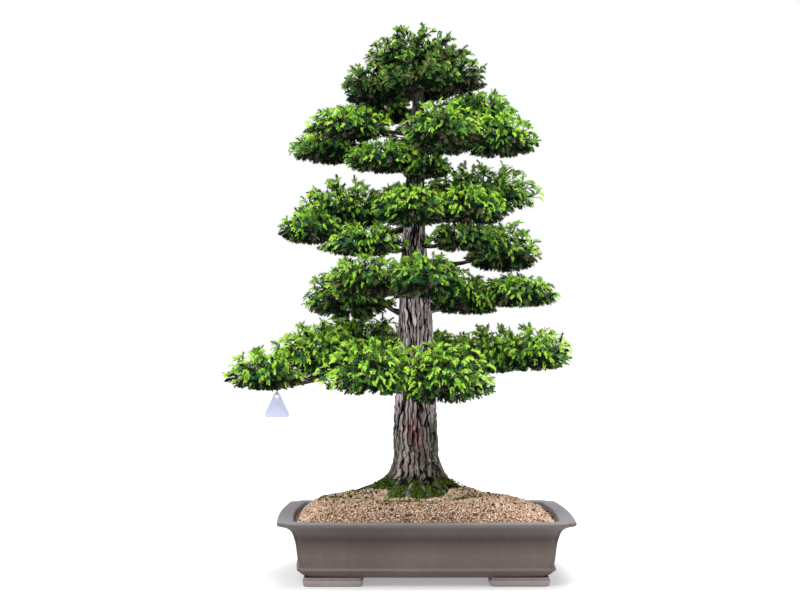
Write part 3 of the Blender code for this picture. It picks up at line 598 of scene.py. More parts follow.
def bark_plates(turn, length, strips, plate_length, seed):
    """Staggered plates of bark: 0 in the gap round a plate, 1 on its back, and a number for each plate."""
    rows = int(length.max() / plate_length) + 4
    draw = np.random.default_rng(seed)
    heights = draw.random((strips, rows))
    numbers = draw.random((strips, rows))
    starts = draw.random(strips)
    sway = stem_noise(turn, length, 6, SWAY_LENGTH, seed + 1) - 0.5
    wiggle = stem_noise(turn, length, strips, WIGGLE_LENGTH, seed + 2) - 0.5
    across = turn / math.tau * strips + sway * strips * 0.09 + wiggle * 0.8
    column = np.floor(across).astype(int)
    along = length / plate_length + starts[column % strips] + wiggle * 0.25
    row = np.floor(along).astype(int)
    x = across - column
    y = along - row
    side_gap = clamp(np.minimum(x, 1 - x) / SIDE_GAP) ** 0.8
    end_gap = 0.45 + 0.55 * clamp(np.minimum(y, 1 - y) / END_GAP)
    height = 0.40 + 0.38 * heights[column % strips, row] + 0.22 * x
    return side_gap * end_gap * height, numbers[column % strips, row]


def long_cracks(turn, length, count, seed):
    """1 on whole bark, 0 in the cracks: lines that wander up the stem, each over its own stretch."""
    draw = np.random.default_rng(seed)
    tall = length.max()
    whole = np.ones_like(length)
    for crack in range(count):
        middle_turn = math.tau * (crack + draw.uniform(-0.3, 0.3)) / count
        middle = draw.uniform(0, tall)
        half = draw.uniform(0.022, 0.060)
        sway = stem_noise(np.zeros_like(length), length, 1, CRACK_SWAY_LENGTH, seed + 1 + crack) - 0.5
        lean = (length - middle) * draw.uniform(-4.0, 4.0)
        off = np.remainder(turn - middle_turn - sway * 0.42 - lean + math.pi, math.tau) - math.pi
        width = draw.uniform(0.030, 0.075)
        taper = clamp((half - np.abs(length - middle)) / (half * 0.6))
        whole = np.minimum(whole, 1 - taper * np.exp(-((off / width) ** 4)))
    return whole


def bark_relief(turn, length, strips, plate_length, seed):
    """The relief of wide plates split into narrow ones and cut by long cracks, and the plates' numbers."""
    wide, wide_number = bark_plates(turn, length, strips, plate_length, seed)
    narrow, narrow_number = bark_plates(turn, length, strips * 2, plate_length * 0.55, seed + 10)
    whole = long_cracks(turn, length, round(strips * max(1.0, length.max() / CRACK_SPACING)), seed + 20)
    fray = stem_noise(turn, length, strips * 5, FRAY_LENGTH, seed + 21)
    relief = clamp(0.62 * wide + 0.40 * narrow + 0.22 * (fray - 0.5)) * (0.10 + 0.90 * whole)
    return relief, 0.5 * wide_number + 0.5 * narrow_number


def add_attributes(mesh, values_by_name):
    """Puts numbers on a capped mesh by name: values for its grid, and one value for both its caps."""
    for name, (values, at_caps) in values_by_name.items():
        layer = mesh.attributes.new(name, "FLOAT", "POINT")
        every = np.concatenate([values.ravel(), [at_caps, at_caps]])
        layer.data.foreach_set("value", every.astype(np.float32))


TRUNK_ROWS = 400
TRUNK_COLUMNS = 240
BARK_DEPTH = 0.0062
BARK_STRIPS = 24
PLATE_LENGTH = 0.095
BARK_BACK = 0.72
ROOT_RIDGES = (14, 58, 96, 131, 168, 200, 226, 244, 257, 281, 290, 298, 306, 324)
RIDGE_WIDTH = math.radians(4.6)
RIDGE_TOP = 0.190
RIDGE_HEIGHT = 0.0034
LUMP_HEIGHT = 0.0075
LUMP_TOP = 0.192
MOSS_TOP = 0.192
DARK_FOOT_TOP = 0.196
LICHEN_HEIGHT = 0.226
LICHEN_REACH = 0.046

# Where moss is fullest: how much, the degree round the trunk and the width.
MOSS_FULLNESS = ((0.30, 262, 0.80), (0.16, 345, 0.40), (0.10, 200, 0.30))

# Patches of colour: strength, degree round the trunk, width in degrees, middle and half height.
LICHEN_PATCH = (0.45, 312, 17, 0.252, 0.020)
RED_PATCHES = (
    (1.00, 268, 20, 0.268, 0.026),
    (0.50, 90, 24, 0.300, 0.030),
    (0.60, 252, 14, 0.290, 0.016),
    (0.35, 240, 20, 0.215, 0.014),
)


def root_ridges(turn, height):
    """Bare surface roots that stand out of the flare, each over its own stretch of it."""
    ridge = np.zeros_like(height)
    for index, degrees in enumerate(ROOT_RIDGES):
        sway = 0.045 * np.sin((RIDGE_TOP - height) * 150 + index * 2.1)
        width = RIDGE_WIDTH * (0.7 + 0.6 * (index % 3) / 2)
        top = RIDGE_TOP - 0.007 * (index % 4)
        foot = TRUNK_FOOT + 0.004 * ((index * 2) % 3)
        stretch = clamp((top - height) / 0.010) * clamp((height - foot) / 0.004)
        ridge = np.maximum(ridge, bump_at(turn + sway, degrees, width) * stretch)
    return ridge


def moss_cover(turn, height):
    """How far moss covers the flare: in patches, most of them in front."""
    patches = stem_noise(turn, height - TRUNK_FOOT, 26, 0.010, SEED + 30, 80)
    specks = stem_noise(turn, height - TRUNK_FOOT, 75, 0.0035, SEED + 33, 260)
    low = clamp((MOSS_TOP - height) / 0.030)
    fullness = 0.04
    for share, degrees, width in MOSS_FULLNESS:
        fullness = fullness + share * bump_at(turn, degrees, width)
    cover = clamp((0.55 * low + fullness + 0.75 * patches + 0.55 * specks - 0.98) * 3.2)
    return cover * (low > 0) * (1 - 0.9 * root_ridges(turn, height))


def flare_lumps(turn, height):
    """Swellings between the roots of the flare."""
    lumps = stem_noise(turn, height - TRUNK_FOOT, 15, 0.016, SEED + 36, 60)
    return (lumps - 0.5) * clamp((LUMP_TOP - height) / 0.020)


def patch_at(turn, height, strength, degrees, width, middle, half_height):
    beside = bump_at(turn, degrees, math.radians(width))
    return strength * (beside * np.exp(-(((height - middle) / half_height) ** 2)))


def make_trunk(bark):
    share = np.linspace(0, 1, TRUNK_ROWS)
    height = (TRUNK_FOOT + (TRUNK_TOP - TRUNK_FOOT) * (0.82 * share + 0.18 * share**2))[:, None]
    turn = turns(TRUNK_COLUMNS)[None, :]
    height, turn = np.broadcast_arrays(height, turn)
    middle, radius = trunk_at(height)
    relief, plate = bark_relief(turn, height - TRUNK_FOOT, BARK_STRIPS, PLATE_LENGTH, SEED)
    ridges = root_ridges(turn, height)
    relief = np.maximum(relief, ridges * (0.20 + 0.45 * plate + 0.30 * relief))
    depth = BARK_DEPTH * np.clip(radius / 0.036, 0.25, 1.25)
    reach = trunk_reach(height, turn) + depth * (relief - BARK_BACK) + RIDGE_HEIGHT * ridges
    reach = reach + LUMP_HEIGHT * flare_lumps(turn, height)
    points = middle + np.stack([reach * np.cos(turn), reach * np.sin(turn), np.zeros_like(reach)], -1)
    caps = [trunk_at(TRUNK_FOOT)[0], trunk_at(TRUNK_TOP)[0] + UP * 0.001]
    points = np.concatenate([points.reshape(-1, 3), caps])
    mesh = array_mesh(points, capped_triangles(TRUNK_ROWS, TRUNK_COLUMNS), smooth=True)
    spots = stem_noise(turn, height - TRUNK_FOOT, 40, 0.0065, SEED + 31, 150)
    belt = clamp(1 - np.abs(height - LICHEN_HEIGHT) / LICHEN_REACH) * (0.45 + 0.55 * bump_at(turn, 280, 0.8))
    lichen = clamp((spots - 0.57) * 7) * belt * 0.95
    lichen = np.maximum(lichen, patch_at(turn, height, *LICHEN_PATCH) * clamp(spots * 2.4))
    red = sum(patch_at(turn, height, *patch) for patch in RED_PATCHES) * clamp(0.35 + 1.1 * plate)
    low = clamp((0.340 - height) / 0.050) * (1 - 0.45 * bump_at(turn, 228, 0.35))
    low = np.maximum(low, clamp((height - 0.690) / 0.050))
    # The bark is darker towards the foot, between the roots.
    darker_foot = clamp((DARK_FOOT_TOP - height) / 0.022) * (1 - ridges)
    add_attributes(mesh, {
        "relief": (relief * (1 - 0.55 * darker_foot), 0.5),
        "plate": (plate, 0.5),
        "low": (low, 0.5),
        "red": (np.clip(red, 0, 0.85), 0.5),
        "lichen": (lichen * clamp(relief * 1.6), 0.5),
        "moss": (moss_cover(turn, height) * 0.95, 0.5),
    })
    show("trunk_bark", mesh, [bark], ["trunk"])


def frames_along(points):
    """Two directions across a path at each of its points."""
    tangent = unit(np.gradient(points, axis=0))
    side = unit(np.cross(tangent, UP + 1e-4))
    return side, np.cross(side, tangent)


BOUGH_ROWS = 64
BOUGH_COLUMNS = 40
BOUGH_STRIPS = 12
BOUGH_PLATE_LENGTH = 0.040
BOUGH_BARK_DEPTH = 0.0016
KNEE_LENGTH = 0.022


def make_bough(name, index, bark):
    """A bough with bark in strips along it, knees where twigs left it, and a collar at the trunk."""
    points, radii = bough_route(name, BOUGH_ROWS - 1)
    start_gap = float(trunk_at(BOUGHS[name].height)[1]) * 0.55
    run = np.concatenate([[0], np.cumsum(np.linalg.norm(np.diff(points, axis=0), axis=1))])
    keep = run >= start_gap
    points, radii, run = points[keep], radii[keep], run[keep]
    side, over = frames_along(points)
    turn = turns(BOUGH_COLUMNS)[None, :]
    length, turn = np.broadcast_arrays(run[:, None], turn)
    relief, plate = bark_relief(turn, length, BOUGH_STRIPS, BOUGH_PLATE_LENGTH, SEED + 50 + index)
    knees = stem_noise(turn, length, 3, KNEE_LENGTH, SEED + 80 + index, 40)
    collar = 1 + 0.55 * np.exp(-((length - start_gap) / (radii[0] * 1.6)) ** 2)
    reach = radii[:, None] * collar * (0.90 + 0.16 * (knees - 0.5)) + BOUGH_BARK_DEPTH * (relief - 0.7)
    sideways = side[:, None, :] * (reach * np.cos(turn))[..., None]
    body = points[:, None, :] + (sideways + over[:, None, :] * (reach * np.sin(turn))[..., None])
    every = np.concatenate([body.reshape(-1, 3), points[:1], points[-1:]])
    mesh = array_mesh(every, capped_triangles(len(points), BOUGH_COLUMNS), smooth=True)
    low = np.full(plate.size, 0.85)
    add_attributes(mesh, {"relief": (relief * 0.8, 0.4), "plate": (plate, 0.5), "low": (low, 0.85)})
    show(f"bark_{name}", mesh, [bark], [f"bough_{name}"])


# ---- the foliage ----

BRANCH_CELL = 0.00036
LEAST_BRANCHES = 10
LOWEST_BRANCH = -0.40
BRANCH_REACH = (0.80, 0.96)
SHORTEST_BRANCH = 0.35
HEART_DROP = 0.35
ROOT_OUT = 0.50
ROOT_UP = 0.42
SIDE_TWIGS = 6
SIDE_LENGTH = 0.024
SIDE_SPAN = (0.34, 0.62)
UNDER_BRANCHES = 9
UNDER_LOWEST = -0.95
UNDER_HIGHEST = -0.25
INNER_SHOOTS = 4
SKIN = 1.02
WALL_MARGIN = 0.0015
MEETING_SHARE = 0.86
LIMB_GAP = 0.0015
TRUNK_GAP = 0.003
TWIG_SIDES = 3
BRANCH_RADII = (0.0021, 0.0007)
SIDE_RADII = (0.0010, 0.0005)
SHOOT_LENGTHS = {"young": (0.0105, 0.0175), "older": (0.0120, 0.0180)}
SHOOT_DROOPS = {"young": (0.9, 2.4), "older": (0.0, 0.7)}
CROWN_SHOOT = 0.78
STEEP = 0.85
STEEP_DROOP = 0.6


def scaled(place):
    return place * np.array([1, 1, SPACE_FLATNESS])


def ellipsoid_share(mass, off, height):
    """1 where an offset from the mass's middle meets its ellipsoid."""
    return math.sqrt((off[0] / mass.half_x) ** 2 + (off[1] / mass.half_y) ** 2 + (off[2] / height) ** 2)


def reach_towards(mass, along):
    return 1 / ellipsoid_share(mass, along, height_of(mass, along[2]) * SPACE_FLATNESS)


def walls_of(name):
    """Planes between this mass and each neighbour that its space meets: points and outward normals."""
    mass = MASSES[name]
    walls = []
    for other_name, other in MASSES.items():
        if other_name == name:
            continue
        span = scaled(middle_of(other)) - scaled(middle_of(mass))
        length = np.linalg.norm(span)
        along = span / length
        mine = reach_towards(mass, along)
        theirs = reach_towards(other, -along)
        if mine + theirs < length * MEETING_SHARE:
            continue
        point = middle_of(mass) + (middle_of(other) - middle_of(mass)) * mine / (mine + theirs)
        walls.append((point, unit(scaled(along))))
    return walls


def golden_spread(count, lowest, start_turn=0.0, highest=1.0):
    """Directions spread evenly from the highest lift down to the lowest: (turn, lift) pairs."""
    drop = highest - lowest
    return [(start_turn + k * GOLDEN_TURN, highest - (k + 0.5) / count * drop) for k in range(count)]


def outward(mass, turn, lift):
    """From the mass's middle to its skin, in the direction of a turn and a lift."""
    spread = math.sqrt(max(0.0, 1 - lift * lift))
    x = math.cos(turn) * spread * mass.half_x
    y = math.sin(turn) * spread * mass.half_y
    return np.array([x, y, lift * height_of(mass, lift)])


class Growth:
    """Collects the twigs and shoots of one tier."""

    def __init__(self):
        self.twigs = []
        self.shoots = {"young": [], "older": []}


def held_in(mass, walls, place):
    """The place drawn in to the mass's skin and behind its walls."""
    off = place - middle_of(mass)
    reach = ellipsoid_share(mass, off, height_of(mass, off[2]))
    if reach > SKIN:
        place = middle_of(mass) + off * (SKIN / reach)
    for point, normal in walls:
        past = float(np.dot(place - point, normal)) + WALL_MARGIN
        if past > 0:
            place = place - normal * past
    return place


# Tones of the older shoots, each up to its limit of chance: painted light by place, with much near-black
# painted shade underneath and through the middle, and lighter greens on top.
UNDER_TONES = ((0.68, "shade"), (0.82, "deep"), (1.0, "rust"))
BASE_UNDER_TONES = ((0.68, "shade"), (0.94, "deep"), (1.0, "rust"))
CROWN_TONES = ((0.20, "olive"), (0.48, "deep"), (1.0, "shade"))
TOP_TONES = ((0.22, "fresh"), (0.58, "leaf"), (0.84, "deep"), (1.0, "shade"))
BASE_TONES = ((0.26, "deep"), (0.40, "blue"), (0.72, "leaf"), (0.97, "shade"), (1.0, "rust"))
OTHER_TONES = ((0.32, "deep"), (0.54, "blue"), (0.60, "leaf"), (0.94, "shade"), (1.0, "rust"))

# Tones of the young shoots, each above its limit of sun.
YOUNG_TONES = ((0.68, "lime"), (0.38, "bright"), (0.10, "fresh"), (-0.15, "leaf"), (-math.inf, "deep"))
CROWN_OLIVE_SHARE = 0.34
BASE_FRONT = 0.02


def older_tone(chance, tier, up_share):
    if up_share < -0.25:
        steps = BASE_UNDER_TONES if tier == "base" else UNDER_TONES
    elif tier == "crown":
        steps = CROWN_TONES
    elif up_share > 0.45:
        steps = TOP_TONES
    else:
        steps = BASE_TONES if tier == "base" else OTHER_TONES
    return next(name for limit, name in steps if chance <= limit)


def shoot_tone(chance, sunny, tier, mass, tip, young):
    """A tone for one shoot by its place, painted light over the shoots' own colours: bright on top and round
    the rim, dull with painted shade inside and underneath.
    """
    off = tip - middle_of(mass)
    up_share = off[2] / height_of(mass, off[2])
    if not young:
        return older_tone(chance, tier, up_share)
    # Painted light: young shoots are brighter the higher they sit on the mass, and darker underneath.
    sunny += 0.46 + 0.40 * up_share
    if up_share < -0.3:
        sunny -= 0.20
    if tier == "crown":
        sunny -= 0.50
        if chance < CROWN_OLIVE_SHARE:
            return "olive"
    if tier == "base":
        sunny += 0.60 if mass.y < BASE_FRONT else 0.34
    return next(name for limit, name in YOUNG_TONES if sunny > limit)


def grow_mass(name, growth, draw):
    """The mass's stem, its branches by the golden angle, side twigs round each and shoots on those."""
    mass = MASSES[name]
    walls = walls_of(name)
    middle = middle_of(mass)
    start, end, radius = stem_route(name)
    growth.twigs.append((np.array([start, (start + end) / 2, end]), radius, radius * 0.5))
    count = max(LEAST_BRANCHES, round(mass.half_x * mass.half_y / BRANCH_CELL))
    first_turn = draw.uniform(0, math.tau)
    branches = [(*pair, False) for pair in golden_spread(count, LOWEST_BRANCH, first_turn)]
    under_spread = golden_spread(UNDER_BRANCHES, UNDER_LOWEST, first_turn + 1, UNDER_HIGHEST)
    branches += [(*pair, True) for pair in under_spread]
    for turn, lift, under in branches:
        out = outward(mass, turn, lift)
        tip = held_in(mass, walls, middle + out * draw.uniform(*BRANCH_REACH))
        if np.linalg.norm(tip - middle) > SHORTEST_BRANCH * np.linalg.norm(out):
            grow_branch(mass, name.split("_")[0], walls, growth, draw, tip, under)


def grow_branch(mass, tier, walls, growth, draw, tip, under):
    """One branch from the mass's heart: side twigs in a spiral, older shoots inside, young ones outside."""
    middle = middle_of(mass)
    heart = middle - UP * mass.drop * HEART_DROP
    out = tip - middle
    root = middle + out * np.array([ROOT_OUT, ROOT_OUT, ROOT_UP])
    share = np.linspace(0, 1, 4)[:, None]
    growth.twigs.append((bent(heart, root, tip, share), *BRANCH_RADII))
    normal = unit(out / np.array([mass.half_x, mass.half_y, height_of(mass, out[2])]) ** 2)
    twist = draw.uniform(0, math.tau)
    mood = draw.normal() * 0.25
    away = unit(out * np.array([1, 1, 0]) + np.array([1e-4, 0, 0]))

    def shoot(base, heading, young):
        kind = "young" if young else "older"
        length = draw.uniform(*SHOOT_LENGTHS[kind])
        if tier == "crown":
            length *= CROWN_SHOOT
        heading = unit(heading)
        base = base + held_in(mass, walls, base + heading * length) - (base + heading * length)
        droop = draw.uniform(*SHOOT_DROOPS[kind])
        if normal[2] > STEEP:
            droop *= STEEP_DROOP
        sunny = mood + draw.normal() * 0.20
        tone = shoot_tone(draw.random(), sunny, tier, mass, base + heading * length, young)
        row = (*base, *heading, length, droop, draw.uniform(0, math.tau), TONE_NAMES.index(tone))
        growth.shoots[kind].append(row)

    for step in range(SIDE_TWIGS):
        along = SIDE_SPAN[0] + SIDE_SPAN[1] * (step + draw.uniform(0.1, 0.9)) / SIDE_TWIGS
        base = bent(heart, root, tip, along)
        tangent = unit(2 * (1 - along) * (root - heart) + 2 * along * (tip - root))
        across = unit(np.cross(tangent, UP + 0.01))
        over = np.cross(across, tangent)
        angle = twist + step * GOLDEN_TURN
        radial = across * math.cos(angle) + over * math.sin(angle)
        lean = unit(tangent * 0.50 + radial * 0.85 + normal * 0.35)
        length = SIDE_LENGTH * (1.20 - 0.60 * along) * draw.uniform(0.75, 1.2)
        end = held_in(mass, walls, base + lean * length)
        growth.twigs.append((np.array([base, end]), *SIDE_RADII))
        direction = unit(end - base + lean * 1e-5)
        shoot(base, radial + normal * 0.4 + draw.normal(size=3) * 0.4, False)
        shoot(base + (end - base) * 0.5, direction + normal * 0.4 + draw.normal(size=3) * 0.6, False)
        for spot in (0.82, 1.0):
            heading = direction * 0.40 + normal * 0.38 + away * 0.38 + UP * 0.22 + draw.normal(size=3) * 0.34
            shoot(base + (end - base) * spot, heading, not under)
    for _ in range(2):
        heading = unit(tip - root) * 0.5 + normal * 0.3 + away * 0.4 + UP * 0.2 + draw.normal(size=3) * 0.36
        shoot(tip, heading, not under)
    for _ in range(INNER_SHOOTS):
        along = draw.uniform(0.15, 0.75)
        base = bent(heart, root, tip, along)
        shoot(base, unit(out) * 0.3 + draw.normal(size=3), False)


def clear_of_limbs(shoots):
    """Keeps the shoots whose base and tip lie outside the trunk and every bough."""
    bases = shoots[:, 0:3]
    tips = bases + shoots[:, 3:6] * shoots[:, 6:7]
    kept = np.ones(len(shoots), bool)
    for places in (bases, (bases + tips) / 2, tips):
        middle, _ = trunk_at(places[:, 2])
        off = places - middle
        turn = np.arctan2(off[:, 1], off[:, 0])
        inside = np.hypot(off[:, 0], off[:, 1]) < trunk_reach(places[:, 2], turn) + TRUNK_GAP
        inside &= places[:, 2] < TRUNK_TOP
        kept &= ~inside
        for name in BOUGHS:
            points, radii = bough_route(name, 10)
            for start, end, radius in zip(points, points[1:], radii):
                span = end - start
                along = clamp((places - start) @ span / (span @ span))
                kept &= np.linalg.norm(places - start - along[:, None] * span, axis=1) > radius + LIMB_GAP
    return shoots[kept]


def tubes(paths):
    """Tapering three-sided twigs as one set of arrays."""
    all_points = []
    all_triangles = []
    first = 0
    turn = turns(TWIG_SIDES)[:, None]
    for path, root_radius, tip_radius in paths:
        side, over = frames_along(path)
        radii = np.linspace(root_radius, tip_radius, len(path))[:, None, None]
        ring = side[:, None, :] * np.cos(turn) + over[:, None, :] * np.sin(turn)
        last = first + (len(path) - 1) * TWIG_SIDES
        all_points.append((path[:, None, :] + ring * radii).reshape(-1, 3))
        all_triangles += [grid_triangles(len(path), TWIG_SIDES, first), [[last, last + 1, last + 2]]]
        first += len(path) * TWIG_SIDES
    return np.concatenate(all_points), np.concatenate(all_triangles)


Habit = namedtuple("Habit", "stations around length width lean_root lean_tip stem")
YOUNG_STEM = ((0.0, 0.00055), (0.55, 0.00040))
OLDER_STEM = ((0.0, 0.00055),)
HABITS = {
    "young": Habit(4, 3, 0.0050, 0.0026, math.radians(50), math.radians(16), YOUNG_STEM),
    "older": Habit(4, 3, 0.0078, 0.0030, math.radians(58), math.radians(30), OLDER_STEM),
}


def shoot_arrays(shoots, habit):
    """Curved shoots: needles in whorls round a bending stem, each needle a folded blade of two faces."""
    # A shoot's row is its base, heading, length, droop, spin and tone.
    base = shoots[:, 0:3]
    heading = shoots[:, 3:6]
    length = shoots[:, 6:7]
    bend = unit(heading - UP * shoots[:, 7:8])
    spin = shoots[:, 8]
    tone = shoots[:, 9].astype(int)
    side = unit(np.cross(heading, UP + np.array([0.01, 0.02, 0])))
    over = np.cross(side, heading)

    def on_stem(share):
        return base + length * (heading * (share - share**2 / 2) + bend * (share**2 / 2))

    points = []
    faces = []
    per_shoot = 0
    for station in range(habit.stations):
        share = (station + 0.35) / habit.stations
        root = on_stem(share)
        tangent = unit(heading * (1 - share) + bend * share)
        lean = habit.lean_root + (habit.lean_tip - habit.lean_root) * share
        reach = habit.length * (1.0 - 0.35 * share**2)
        for k in range(habit.around):
            angle = spin + station * GOLDEN_TURN + k * math.tau / habit.around
            radial = side * np.cos(angle)[:, None] + over * np.sin(angle)[:, None]
            along = unit(tangent * math.cos(lean) + radial * math.sin(lean))
            across = unit(np.cross(along, radial))
            tip = root + along * reach + tangent * reach * 0.25
            waist = root + along * reach * 0.45 - radial * habit.width * 0.10
            points += [root, waist + across * habit.width / 2, tip, waist - across * habit.width / 2]
            faces += [[per_shoot + i for i in face] for face in ((0, 1, 2), (0, 2, 3))]
            per_shoot += 4
    for share, radius in habit.stem:
        centre = on_stem(share)
        for k in range(3):
            angle = k * math.tau / 3
            points.append(centre + (side * math.cos(angle) + over * math.sin(angle)) * radius)
    points.append(on_stem(1.0))
    low = per_shoot
    per_shoot += 3 * len(habit.stem) + 1
    for k in range(3):
        j = (k + 1) % 3
        if len(habit.stem) == 2:
            faces += [[low + k, low + j, low + j + 3], [low + k, low + j + 3, low + k + 3]]
        faces.append([per_shoot - 4 + k, per_shoot - 4 + j, per_shoot - 1])
    stacked = np.stack(points, 1).reshape(-1, 3)
    return stacked, repeated(faces, len(shoots), per_shoot), np.repeat(tone, len(faces))


def make_foliage():
    needles = needle_materials()
    twig_bark = two_tone("twig_bark", *TWIG_TONES, 0.85, 0.2, 180.0, 4.0, (0.4, 0.0006))
    for tier in TIERS:
        growth = Growth()
        names = [name for name in MASSES if name.startswith(f"{tier}_")]
        for name in names:
            draw = np.random.default_rng(SEED * 1000 + list(MASSES).index(name))
            grow_mass(name, growth, draw)
        nodes = [f"foliage_{name}" for name in names]
        show(f"twigs_{tier}", array_mesh(*tubes(growth.twigs)), [twig_bark], nodes)
        for kind, listed in growth.shoots.items():
            shoots = clear_of_limbs(np.array(listed))
            mesh = array_mesh(*shoot_arrays(shoots, HABITS[kind]))
            show(f"{kind}_needles_{tier}", mesh, needles, nodes)


# ---- the pot ----

POT_LENGTH = 0.545
POT_DEPTH = 0.380
POT_HEIGHT = 0.121
POT_BOW = 0.004
END_BOW_SHARE = 1.75
FLOOR_TOP = 0.030
CAVITY_CORNER = 0.020
RIM_CORNER = 0.018
BODY_CORNER = 0.010
BODY_BOTTOM = 0.016
DRAIN_RADIUS = 0.014
DRAIN_DEPTH = 0.06
DRAIN_SIDES = 40

# Edges are sharp from this many degrees.
SHARP_CLAY = 50
DRAIN_SPACING = 0.250
CORNER_STEPS = 12
SIDE_STEPS = 28

# The outside from the underside to the rim, as inset, height and corner size.
OUTER_PROFILE = (
    (0.0555, BODY_BOTTOM, 0.007),
    (0.0520, 0.0168, 0.008),
    (0.0490, 0.0186, 0.009),
    (0.0440, 0.0222, BODY_CORNER),
    (0.0395, 0.0268, BODY_CORNER),
    (0.0368, 0.0290, BODY_CORNER),
    (0.0354, 0.0304, BODY_CORNER),
    (0.0350, 0.0317, BODY_CORNER),
    (0.0358, 0.0330, BODY_CORNER),
    (0.0374, 0.0342, BODY_CORNER),
    (0.0386, 0.0356, BODY_CORNER),
    (0.0384, 0.0400, BODY_CORNER),
    (0.0372, 0.0450, BODY_CORNER),
    (0.0356, 0.0560, BODY_CORNER),
    (0.0338, 0.0720, BODY_CORNER),
    (0.0320, 0.0830, BODY_CORNER),
    (0.0300, 0.0900, BODY_CORNER),
    (0.0284, 0.0953, 0.0105),
    (0.0262, 0.1005, 0.0115),
    (0.0228, 0.1050, 0.0125),
    (0.0180, 0.1083, 0.0135),
    (0.0118, 0.1108, 0.015),
    (0.0062, 0.1122, 0.0165),
    (0.0024, 0.1136, RIM_CORNER),
    (0.0006, 0.1156, RIM_CORNER),
    (0.0000, 0.1180, RIM_CORNER),
    (0.0004, 0.1196, RIM_CORNER),
    (0.0014, 0.1206, RIM_CORNER),
    (0.0030, POT_HEIGHT, RIM_CORNER),
)
INNER_PROFILE = (
    (0.0150, POT_HEIGHT - 0.0003, 0.019),
    (0.0262, POT_HEIGHT - 0.0002, CAVITY_CORNER),
    (0.0282, 0.1204, CAVITY_CORNER),
    (0.0290, 0.1190, CAVITY_CORNER),
    (0.0330, 0.1100, CAVITY_CORNER),
    (0.0400, 0.0950, CAVITY_CORNER),
    (0.0460, FLOOR_TOP + 0.004, CAVITY_CORNER),
    (0.0500, FLOOR_TOP, CAVITY_CORNER),
)


def corner_curve(size, notched):
    """One corner as offsets from its square corner: a round, or two rounds with a hollow between."""
    share = np.linspace(0, 1, CORNER_STEPS + 1)
    turn = share * math.pi / 2
    if not notched:
        return np.stack([size - size * np.sin(turn), size - size * np.cos(turn)], -1)
    step = size * 0.2
    inner = size - step
    outer = size + step
    corners = np.array([(outer, 0), (size, step), (inner, inner), (step, size), (0, outer)])
    at = share * (len(corners) - 1)
    base = np.clip(at.astype(int), 0, len(corners) - 2)
    straight = corners[base] + (corners[base + 1] - corners[base]) * (at - base)[:, None]
    padded = np.pad(straight, ((1, 1), (0, 0)), mode="edge")
    soft = np.stack([np.convolve(column, [0.25, 0.5, 0.25], "valid") for column in padded.T], -1)
    soft[[0, -1]] = corners[[0, -1]]
    return soft


def plan_ring(inset, height, corner, notched, bow=POT_BOW):
    """The pot's outline drawn in by inset, its sides bowed outwards, as an array of points."""
    half_x = POT_LENGTH / 2 - inset
    half_y = POT_DEPTH / 2 - inset
    offsets = corner_curve(corner, notched)
    front_right = np.stack([half_x - offsets[:, 0], -half_y + offsets[:, 1]], -1)
    back_right = front_right[::-1] * (1, -1)
    back_left = front_right * (-1, -1)
    front_left = front_right[::-1] * (-1, 1)
    ring = []
    corners = (front_right, back_right, back_left, front_left)
    end_bow = bow * END_BOW_SHARE
    for here, following, fullness in zip(corners, (*corners[1:], corners[0]), (end_bow, bow, end_bow, bow)):
        ring.append(here)
        start, end = here[-1], following[0]
        share = np.linspace(0, 1, SIDE_STEPS + 1)[1:-1, None]
        straight = start + (end - start) * share
        out = np.array([end[1] - start[1], start[0] - end[0]])
        out = out / np.linalg.norm(out)
        ring.append(straight + out * fullness * np.sin(math.pi * share))
    flat = np.concatenate(ring)
    return np.column_stack([flat, np.full(len(flat), height)])


def make_pot(stoneware):
    rings = [plan_ring(*level, True) for level in OUTER_PROFILE]
    rings += [plan_ring(*level, False) for level in INNER_PROFILE]
    pot = show("pot_stoneware", rings_mesh(rings), [stoneware], ["pot"])
    for side in (-1, 1):
        place = (side * DRAIN_SPACING / 2, 0, FLOOR_TOP - 0.010)
        bored(pot, DRAIN_SIDES, DRAIN_RADIUS, DRAIN_DEPTH, place, (0, 0, 0), SHARP_CLAY)


FOOT_OUTER = 0.228
FOOT_LENGTH = 0.113
FOOT_FRONT = 0.146
FOOT_DEPTH = 0.064
FOOT_CORNER = 0.007
FOOT_CORNER_STEPS = 6

# A foot from the ground up, as inset and height, with a groove under the pot.
FOOT_PROFILE = (
    (0.0055, 0.0),
    (0.0035, 0.0006),
    (0.0022, 0.0022),
    (0.0012, 0.0075),
    (0.0010, 0.0120),
    (0.0030, 0.0135),
    (0.0030, 0.0170),
)


def foot_ring(middle_x, middle_y, inset, height):
    ring = []
    for corner, (sign_x, sign_y) in enumerate(((1, 1), (-1, 1), (-1, -1), (1, -1))):
        for step in range(FOOT_CORNER_STEPS + 1):
            turn = math.pi / 2 * (corner + step / FOOT_CORNER_STEPS)
            x = sign_x * (FOOT_LENGTH / 2 - inset - FOOT_CORNER) + FOOT_CORNER * math.cos(turn)
            y = sign_y * (FOOT_DEPTH / 2 - inset - FOOT_CORNER) + FOOT_CORNER * math.sin(turn)
            ring.append((middle_x + x, middle_y + y, height))
    return np.array(ring)


def make_feet(stoneware):
    """Four low feet: rounded blocks drawn in towards the ground."""
    for side, side_name in ((-1, "left"), (1, "right")):
        for end, end_name in ((-1, "front"), (1, "back")):
            middle_x = side * (FOOT_OUTER - FOOT_LENGTH / 2)
            middle_y = end * (FOOT_FRONT - FOOT_DEPTH / 2)
            rings = [foot_ring(middle_x, middle_y, *level) for level in FOOT_PROFILE]
            name = f"pot_foot_{side_name}_{end_name}"
            foot = show(name, rings_mesh(rings), [stoneware], ["pot"])
            foot.data.set_sharp_from_angle(angle=math.radians(SHARP_CLAY))


# ---- the grit ----

